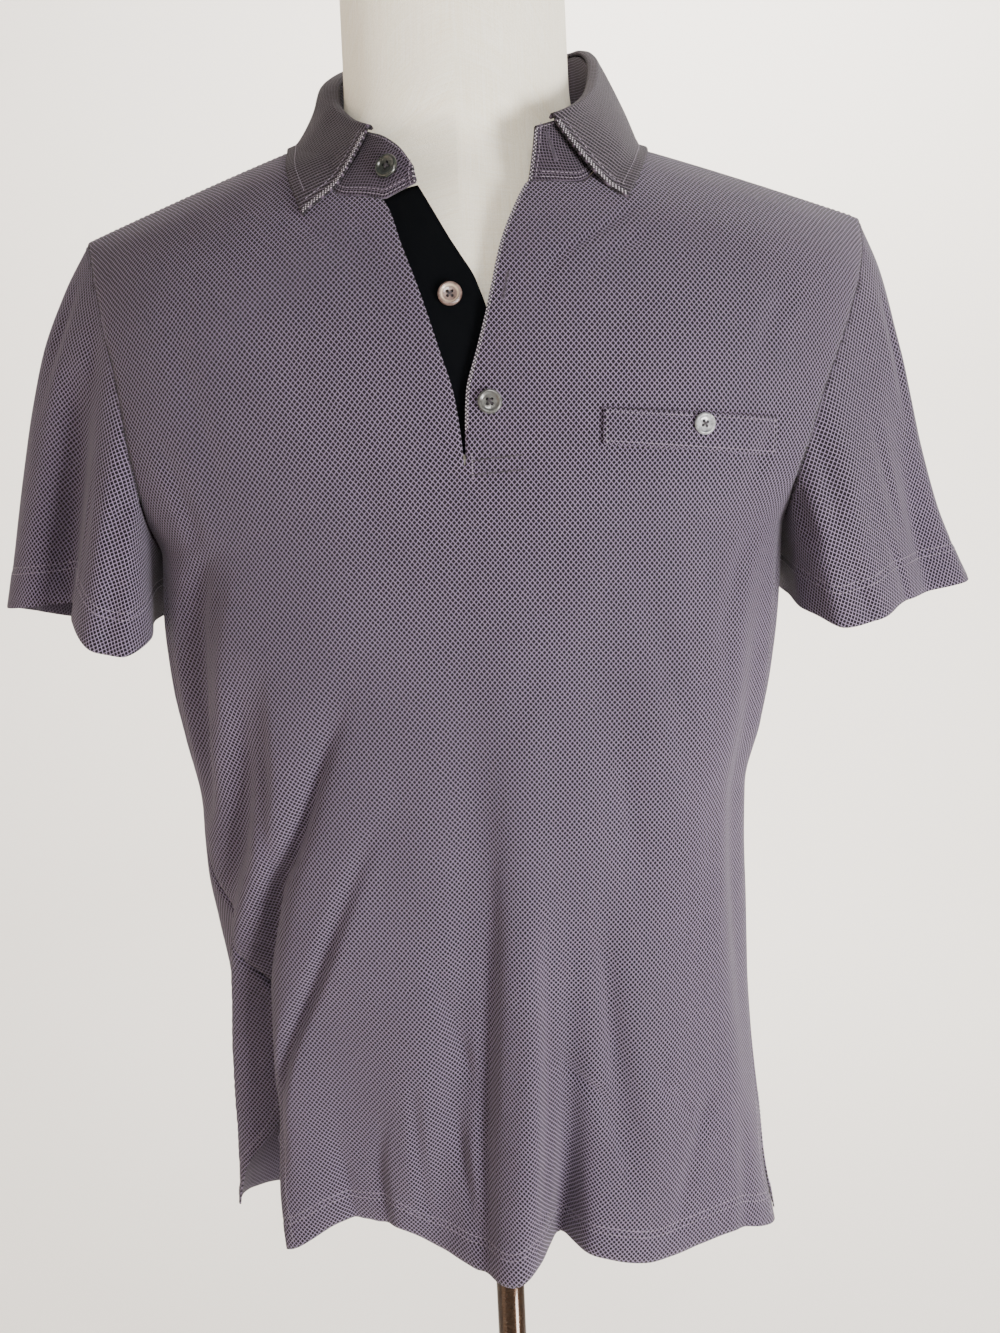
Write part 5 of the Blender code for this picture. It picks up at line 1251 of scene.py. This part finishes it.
# %% button measures
BUTTONS = (
    # name, across, row height, off the front, diameter, height, finish, slot
    ("button_stand", 0.0, 990.0, 0.0, 12.7, 2.6,
     horn("button dark", colour(11, 16, 14), colour(36, 43, 36), 180), "button_dark"),
    ("button_upper", -6.5, 923.5, -2.8, 12.7, 2.6,
     horn("button copper", colour(74, 56, 52), colour(122, 102, 95), 160, colour(184, 166, 146)), "button_rose"),
    ("button_lower", 11.6, 868.0, 0.5, 12.7, 2.6,
     horn("button grey", colour(42, 43, 43), colour(80, 81, 81), 170), "button_smoke"),
    ("button_pocket", 122.0, 855.0, 2.3, 11.5, 2.4,
     horn("button smoke", colour(94, 96, 102), colour(156, 158, 162), 150), "button_grey"),
)


# %% buttons
HOLE_RING = 0.25      # where the thread holes are, as a share of the button's radius


def button(name, centre, facing, size, tall, finish):
    """Spin a button, cut its four holes and mark its pale ring."""
    r = size / 2
    profile = ((0, 0), (r * 0.80, 0), (r * 0.93, tall * 0.16), (r * 0.985, tall * 0.36), (r, tall * 0.55),
               (r * 0.975, tall * 0.78), (r * 0.91, tall * 0.93), (r * 0.83, tall), (r * 0.76, tall * 0.97),
               (r * 0.70, tall * 0.86), (r * 0.64, tall * 0.74), (r * 0.56, tall * 0.68), (0, tall * 0.66))
    points, faces = lathe(name, profile, count=56, at=centre, facing=facing)
    obj = mesh_piece("horn_" + name, points, faces)
    turn = turn_to(facing)
    pegs, peg_faces = [], []
    for k in range(4):
        a = pi / 4 + k * pi / 2
        p, q = lathe("peg", ((0, -1), (0.85, -1), (0.85, tall + 1), (0, tall + 1)), count=20)
        p = p + np.array([r * HOLE_RING * np.cos(a), r * HOLE_RING * np.sin(a), 0])
        peg_faces += [[i + len(pegs) for i in face] for face in q]
        pegs += list(p)
    cutter = mesh_piece("pegs", np.array(pegs) @ turn.T + np.array(centre), peg_faces)
    cut = obj.modifiers.new("holes", "BOOLEAN")
    cut.operation, cut.solver, cut.object = "DIFFERENCE", "EXACT", cutter
    whole = baked(obj)
    bpy.data.objects.remove(cutter)
    whole.materials.clear()
    whole.materials.append(finish)
    ring = whole.attributes.new("ring", "FLOAT", "POINT")
    local = (np.array([v.co for v in whole.vertices]) * 1000 - np.array(centre)) @ turn
    far = np.hypot(local[:, 0], local[:, 1]) / r
    pale = np.clip(1.4 - np.abs(far - 0.68) / 0.07, 0, 1) * (local[:, 2] > tall * 0.4)
    ring.data.foreach_set("value", pale.astype(np.float32))
    whole.polygons.foreach_set("use_smooth", np.ones(len(whole.polygons), bool))
    whole.set_sharp_from_angle(angle=0.7)
    hand_over(obj, name)


STAND_BUTTON, STAND_FACING = (-36.2, -81.7, 990.1), (-0.42, -0.86, 0.28)
placed = {}
for name, x, height, off, size, tall, finish, slot_name in BUTTONS:
    point, facing = on_front(x, height)
    centre = point + facing * off
    if name == "button_stand":
        centre, facing = np.array(STAND_BUTTON), unit(np.array(STAND_FACING))
    button(name, centre, facing, size, tall, finish)
    placed[name] = (centre, facing, tall)
print("buttons", {k: [round(float(v), 1) for v in p[0]] for k, p in placed.items()})

# %% [markdown]
# Stitches are what make sewn cloth read as sewn. Each seam is a line of points on the cloth; Geometry Nodes
# walk it in even steps and put a small rounded stitch at each one, turned to the line. One tree serves every
# seam, with its stitch length, pitch and thread thickness as inputs, and ends as a plain mesh.

# %% thread finish and stitch tree
def thread(name, shade, glint):
    """A spun thread between two tones."""
    mat, tree, shader = blank(name, 0.6, sheen=0.1)
    at = step(tree, "TexCoord").outputs["Object"]
    ply = noise(tree, at, 900.0, 2.0, 0.5)
    tree.links.new(mixed(tree, ply, shade, glint), shader.inputs["Base Color"])
    bumped(tree, shader, ply, 0.3, 0.0001)
    return mat


THREAD = thread("shirt thread", colour(98, 88, 102), colour(148, 137, 154))
DARK_THREAD = thread("seam thread", colour(40, 32, 43), colour(72, 62, 78))
# Seam shade is painted shade: a near-black thread laid where a seam's shadow falls.
SEAM_SHADE = thread("seam shade", colour(12, 8, 13), colour(34, 26, 36))
PALE_THREAD = thread("button thread", colour(34, 30, 34), colour(74, 68, 76))


def stitch_tree():
    """The Geometry Nodes tree: a seam's edges in, a mesh of stitches out."""
    tree = bpy.data.node_groups.new("stitches", "GeometryNodeTree")
    face = tree.interface
    face.new_socket("Seam", in_out="INPUT", socket_type="NodeSocketGeometry")
    for label, value in (("Pitch", 0.003), ("Stitch", 0.0024), ("Thick", 0.0005)):
        face.new_socket(label, in_out="INPUT", socket_type="NodeSocketFloat").default_value = value
    face.new_socket("Thread", in_out="INPUT", socket_type="NodeSocketMaterial")
    face.new_socket("Seam", in_out="OUTPUT", socket_type="NodeSocketGeometry")
    into, out = tree.nodes.new("NodeGroupInput"), tree.nodes.new("NodeGroupOutput")

    def node(kind, **settings):
        made = tree.nodes.new(kind)
        for k, v in settings.items():
            setattr(made, k, v)
        return made

    line, walk = node("GeometryNodeMeshToCurve"), node("GeometryNodeResampleCurve", mode="LENGTH")
    ball = node("GeometryNodeMeshUVSphere")
    for label, value in (("Segments", 6), ("Rings", 4), ("Radius", 0.5)):
        ball.inputs[label].default_value = value
    size, tangent = node("ShaderNodeCombineXYZ"), node("GeometryNodeInputTangent")
    turn = node("FunctionNodeAlignEulerToVector", axis="Z")
    put, real = node("GeometryNodeInstanceOnPoints"), node("GeometryNodeRealizeInstances")
    soft, paint = node("GeometryNodeSetShadeSmooth"), node("GeometryNodeSetMaterial")
    for source, given, target, taken in (
            (into, "Seam", line, "Mesh"), (line, "Curve", walk, "Curve"), (into, "Pitch", walk, "Length"),
            (walk, "Curve", put, "Points"), (ball, "Mesh", put, "Instance"), (tangent, "Tangent", turn, "Vector"),
            (turn, "Rotation", put, "Rotation"), (into, "Thick", size, "X"), (into, "Thick", size, "Y"),
            (into, "Stitch", size, "Z"), (size, "Vector", put, "Scale"), (put, "Instances", real, "Geometry"),
            (real, "Geometry", soft, "Geometry"), (soft, "Geometry", paint, "Geometry"),
            (into, "Thread", paint, "Material"), (paint, "Geometry", out, "Seam")):
        tree.links.new(source.outputs[given], target.inputs[taken])
    return tree


STITCHES = stitch_tree()


def stitched(name, lines, finish, pitch=3.0, stitch=2.4, thick=0.5):
    """Stitches along lines of points in millimetres, as one plain mesh piece."""
    starts = set(np.cumsum([len(line) for line in lines]).tolist())
    edges = [(i, i + 1) for i in range(max(starts) - 1) if i + 1 not in starts]
    mesh = bpy.data.meshes.new(name)
    mesh.from_pydata((np.vstack(lines) / 1000.0).tolist(), edges, [])
    obj = bpy.data.objects.new(name, mesh)
    scene.collection.objects.link(obj)
    sewing = obj.modifiers.new("stitches", "NODES")
    sewing.node_group = STITCHES
    values = {"Pitch": pitch / 1000, "Stitch": stitch / 1000, "Thick": thick / 1000, "Thread": finish}
    for item in STITCHES.interface.items_tree:
        if item.in_out == "INPUT" and item.name in values:
            sewing[item.identifier] = values[item.name]
    made = baked(obj)
    hand_over(obj)
    print(f"{name}: {len(made.polygons)} faces")


# %% [markdown]
# The hem and the cuffs are turned up once and held by twin needle rows; the collar, placket and welt have
# one row inside their edges. The seam lines are read from the cloth's own grids, so they sit on it.

# %% hem, cuff and seam stitches
def skin_of(panel):
    """Points and fresh normals of both halves of a panel, outer edge first."""
    normals = vertex_normals(panel["points"], panel["faces"])
    n = len(HEIGHTS)
    return [(panel["points"][s:s + n * COLS].reshape(n, COLS, 3), normals[s:s + n * COLS].reshape(n, COLS, 3))
            for s in (0, n * COLS)]


def edge_at(grid, normals, distance, rows, off):
    """A line up a grid at a distance from its first column."""
    along, lifted = walked(grid, 1), grid + normals * off
    return np.array([[np.interp(distance, along[i], lifted[i, :, k]) for k in range(3)] for i in rows])


def across_at(grid, normals, distance, off, closed=False):
    """A line across a grid at a distance from its first row."""
    line = edge_at(grid.swapaxes(0, 1), normals.swapaxes(0, 1), distance, range(grid.shape[1]), off)
    return np.vstack([line, line[:1]]) if closed else line


def both_ends(*grids):
    """The grids as they are, then turned end for end, each time with the name of that end."""
    return ("left", *grids), ("right", *(grid[:, ::-1] for grid in grids))


hem_lines, vent_lines, shoulder_lines = [], [], []
for panel in (front_panel, back_panel):
    for vent, (grid, normals) in zip((VENT_LEFT, VENT_RIGHT), skin_of(panel)):
        hem_lines += [across_at(grid, normals, distance, 0.15) for distance in (16.5, 20.5)]
        vent_lines.append(edge_at(grid, normals, 7.0, range(2, int(np.searchsorted(HEIGHTS, vent + 6))), 0.15))
for grid, normals in skin_of(front_panel):
    shoulder_lines.append(across_at(grid[::-1], normals[::-1], 5.0, 0.15)[2:-2])
stitched("hem_stitches", hem_lines, THREAD, pitch=3.0, stitch=2.3, thick=0.5)
stitched("vent_stitches", vent_lines, THREAD, pitch=3.2, stitch=2.5, thick=0.45)
stitched("shoulder_stitches", shoulder_lines, DARK_THREAD, pitch=3.2, stitch=2.2, thick=0.55)

cuff_lines, armhole_lines, armhole_shade_lines = [], [], []
for side, grid in sleeves.items():
    normals = grid_normals(grid, closed=True, turned=side == "left")
    cuff_lines += [across_at(grid[::-1], normals[::-1], distance, 0.15, closed=True) for distance in (21.0, 25.0)]
    armhole_shade_lines.append(across_at(grid, normals, 0.6, -0.2, closed=True))
    armhole_lines.append(across_at(grid, normals, 3.4, 0.1, closed=True))
stitched("cuff_stitches", cuff_lines, THREAD, pitch=3.0, stitch=2.3, thick=0.5)
stitched("armhole_stitches", armhole_lines, DARK_THREAD, pitch=3.0, stitch=2.0, thick=0.55)
# The close row of near-black blobs along each armhole seam is painted shade for the shadow in the seam.
stitched("armhole_painted_shade", armhole_shade_lines, SEAM_SHADE, pitch=1.1, stitch=1.4, thick=0.8)

# %% collar, placket and welt stitches
def ring_inside(grid, distance, off, sides=("left", "top", "right", "bottom")):
    """A line that runs inside the edges of a strip's grid, at a distance from each."""
    rows, cols = grid.shape[:2]
    normals = grid_normals(grid)
    if normals[rows // 2, cols // 2, 1] > 0:
        normals = -normals
    p = grid + normals * off
    u, v = walked(grid, 1)[rows // 2], walked(grid)[:, cols // 2]
    i_low, i_high = np.interp([distance, v[-1] - distance], v, np.arange(rows))
    j_low, j_high = np.interp([distance, u[-1] - distance], u, np.arange(cols))

    def read(i, j):
        i0, j0 = min(int(i), rows - 2), min(int(j), cols - 2)
        s, t = i - i0, j - j0
        low, high = (p[row, j0] * (1 - t) + p[row, j0 + 1] * t for row in (i0, i0 + 1))
        return low * (1 - s) + high * s

    runs = {"bottom": [(i_low, j) for j in np.linspace(j_low, j_high, 40)],
            "top": [(i_high, j) for j in np.linspace(j_low, j_high, 40)],
            "left": [(i, j_low) for i in np.linspace(i_low, i_high, 60)],
            "right": [(i, j_high) for i in np.linspace(i_low, i_high, 60)]}
    return [np.array([read(i, j) for i, j in runs[side]]) for side in sides]


box = strips["over_placket"]
box_lines = ring_inside(box[2:], 2.0, 0.4, sides=("bottom",)) + ring_inside(box[9:], 2.0, 0.4, sides=("bottom",))
box_lines.append(ring_inside(box, 3.2, 0.3, sides=("left",))[0][4:])
leaf_normals = grid_normals(leaf_grid)
leaf_lines = [across_at(leaf_grid[::-1], leaf_normals[::-1], 6.0, 0.15)[4:-4]]
leaf_lines += [edge_at(grid, normals, 6.0, range(FOLD_ROWS, len(leaf_rows) - 3), 0.15)
               for _, grid, normals in both_ends(leaf_grid, leaf_normals)]
stitched("welt_stitches", ring_inside(strips["pocket_welt"], 2.2, 0.35), THREAD, pitch=2.6, stitch=2.0, thick=0.42)
# The two near-black rows across the placket's base are painted shade for the shadow in its seam grooves.
placket_shade_lines = [on_front(np.linspace(*across, 30), np.linspace(*heights, 30))[0] + np.array([0, -0.15, 0])
              for across, heights in (((2, 26.5), (838.6, 840.6)), ((1, 28.5), (831.4, 833.2)))]
base_edge = on_front(np.full(14, 1.2), np.linspace(829.5, 842, 14))[0] + np.array([0, -0.2, 0])
stitched("placket_base_painted_shade", placket_shade_lines, SEAM_SHADE, pitch=1.9, stitch=2.0, thick=0.95)
stitched("placket_bar", [base_edge], THREAD, pitch=1.3, stitch=1.0, thick=0.8)
stitched("placket_stitches", box_lines, THREAD, pitch=2.6, stitch=2.0, thick=0.42)
stitched("collar_stitches", leaf_lines, THREAD, pitch=2.6, stitch=2.0, thick=0.45)

# %% button threads and buttonholes
def crossed_threads(name, size=12.7):
    """Two pairs of threads that cross through a button's holes."""
    centre, facing, tall = placed[name]
    turn = turn_to(facing)
    r = size / 2 * HOLE_RING
    lines = []
    for a in (pi / 4, 3 * pi / 4):
        for side in (-0.22, 0.22):
            s = np.linspace(-1, 1, 9)
            rise = tall * (0.68 + 0.14 * (1 - s**4)) - 0.9 * (abs(s) > 0.99)
            across, along = np.cos(a) * s * r - np.sin(a) * side, np.sin(a) * s * r + np.cos(a) * side
            path = np.stack([across, along, rise], axis=1)
            lines.append(path @ turn.T + centre)
    return lines


stitched("button_threads", [line for name in placed for line in crossed_threads(name)], PALE_THREAD,
         pitch=0.32, stitch=0.5, thick=0.36)

# %% [markdown]
# The front edges of the collar and of the placket end in a knitted border: two rows of pale loops with dark
# gaps between them. Each row is the stitch tree again, with short round stitches; dark rows start half a
# step later, so that pale and dark alternate as they do in the cloth.

# %% looped borders
def looped(name, line_at, distances, pitch=1.9, size=0.85, deep=0.68):
    """Rows of pale and dark loops along an edge. line_at(distance) gives the line at that distance from it."""
    pale, dark = [], []
    for number, distance in enumerate(distances):
        line = line_at(distance)
        far = walked(line)
        count = int(far[-1] / pitch) - 1
        for lines, start in ((pale, 0.5 * (number % 2)), (dark, 0.5 * (1 - number % 2))):
            steps = np.linspace(start, start + count, 2 * count + 1) * pitch
            lines.append(np.stack([np.interp(steps, far, line[:, k]) for k in range(3)], axis=1))
    stitched(name + "_pale_loops", pale, LOOP_PALE, pitch=pitch, stitch=size, thick=deep)
    stitched(name + "_dark_loops", dark, LOOP_DARK_AND_SLIT_SHADE, pitch=pitch, stitch=size * 1.35, thick=deep * 1.1)


LOOP_PALE = thread("pale loops", colour(158, 150, 163), colour(208, 201, 211))
# The dark loop thread is the border's dark yarn, and it also paints the shade in the buttonhole slits.
LOOP_DARK_AND_SLIT_SHADE = thread("dark loops", colour(10, 6, 11), colour(24, 14, 24))
for end, grid, normals in both_ends(leaf_grid[FOLD_ROWS:], leaf_normals[FOLD_ROWS:]):
    looped("collar_" + end, lambda d: edge_at(grid, normals, d, range(len(grid)), 0.05), (0.3, 1.25, 2.2))
first_row, end_row = (int(np.searchsorted(HEIGHTS, h)) for h in (852, NECK_RIGHT - 0.01))
_, grid, normals = both_ends(*skin_of(front_panel)[1])[1]
looped("placket_edge", lambda d: edge_at(grid, normals, d, range(first_row, end_row + 1), 0.05), (0.4, 1.4))
stand_normals = grid_normals(stand_grid, turned=True)
for end, grid, normals in both_ends(stand_grid, stand_normals):
    looped("stand_" + end, lambda d: edge_at(grid, normals, d, range(len(grid)), 0.05), (0.4, 1.4))

# %% stand stitches and buttonholes
stand_lines = []
for distance in (1.6, 4.2):
    foot_line = across_at(stand_grid, stand_normals, distance, 0.2)
    stand_lines += [foot_line[3:28], foot_line[-28:-3]]
for _, grid, normals in both_ends(stand_grid, stand_normals):
    stand_lines.append(edge_at(grid, normals, 3.6, range(1, len(grid)), 0.2))
    stand_lines.append(across_at(grid[::-1], normals[::-1], 1.6, 0.2)[1:22])
stitched("stand_stitches", stand_lines, THREAD, pitch=2.4, stitch=2.0, thick=0.45)


def buttonhole(low, high, facing, wide=2.0, pitch=0.5):
    """Short stitches across a slit, all the way round it, as a row of pairs of points. Millimetres."""
    along = unit(high - low)
    across = unit(np.cross(along, facing))
    lines = []
    for s in np.arange(0, np.linalg.norm(high - low), pitch):
        middle = low + along * s + facing * 0.25
        for side in (-1, 1):
            lines.append(np.array([middle + across * side * 0.3, middle + across * side * wide / 2]))
    for end in (low, high):
        for side in (-0.3, 0.3):
            bar = end + facing * 0.3 + along * side
            lines.append(np.array([bar - across * wide / 2, bar + across * wide / 2]))
    return lines


placket_low, placket_facing = on_front(20.6, 919.5)
placket_high, _ = on_front(23.8, 933.5)
stand_low, stand_high = stand_grid[4, -7], stand_grid[10, -5]
holes = buttonhole(placket_low, placket_high, placket_facing)
holes += buttonhole(stand_low, stand_high, stand_normals[7, -6])
HOLE_THREAD = thread("buttonhole thread", colour(58, 50, 64), colour(96, 86, 104))
stitched("buttonhole_stitches", holes, HOLE_THREAD, pitch=0.45, stitch=0.5, thick=0.36)
# The near-black line down each buttonhole is painted shade for the open slit.
slit_shade_lines = [np.array([placket_low, placket_high]) + placket_facing * 0.35,
         np.array([stand_low, stand_high]) + stand_normals[7, -6] * 0.35]
stitched("buttonhole_slit_shade", slit_shade_lines, LOOP_DARK_AND_SLIT_SHADE, pitch=0.5, stitch=0.8, thick=0.5)

# %% [markdown]
# Where the side seams end in open vents, a few thread tails hang loose. Each tail is a short curve that leaves
# the seam and bends down, different in length and direction, and it is swept into a fine round thread.

# %% loose threads at the vents
tails = []
rng = np.random.default_rng(7)
tail_starts = ((VENT_LEFT - 4, 0), (VENT_LEFT - 12, 0), (VENT_LEFT - 30, 0), (VENT_RIGHT - 5, 1))
for number, (height, side) in enumerate(tail_starts):
    grid, normals = skin_of(front_panel)[side]
    row = int(np.searchsorted(HEIGHTS, height))
    start, facing = grid[row, 2], normals[row, 2]
    lean = np.array([rng.uniform(-0.5, 0.9), 0.0, -1.0])
    length = rng.uniform(9, 17)
    s = np.linspace(0, 1, 18)[:, None]
    sway = np.sin(5 * s + number) * (1.2, 0, 0)
    tails.append(start + facing * (0.3 + 1.6 * np.sin(pi * s)) + lean * length * s + sway)
stitched("thread_tails", tails, THREAD, pitch=0.3, stitch=0.5, thick=0.28)
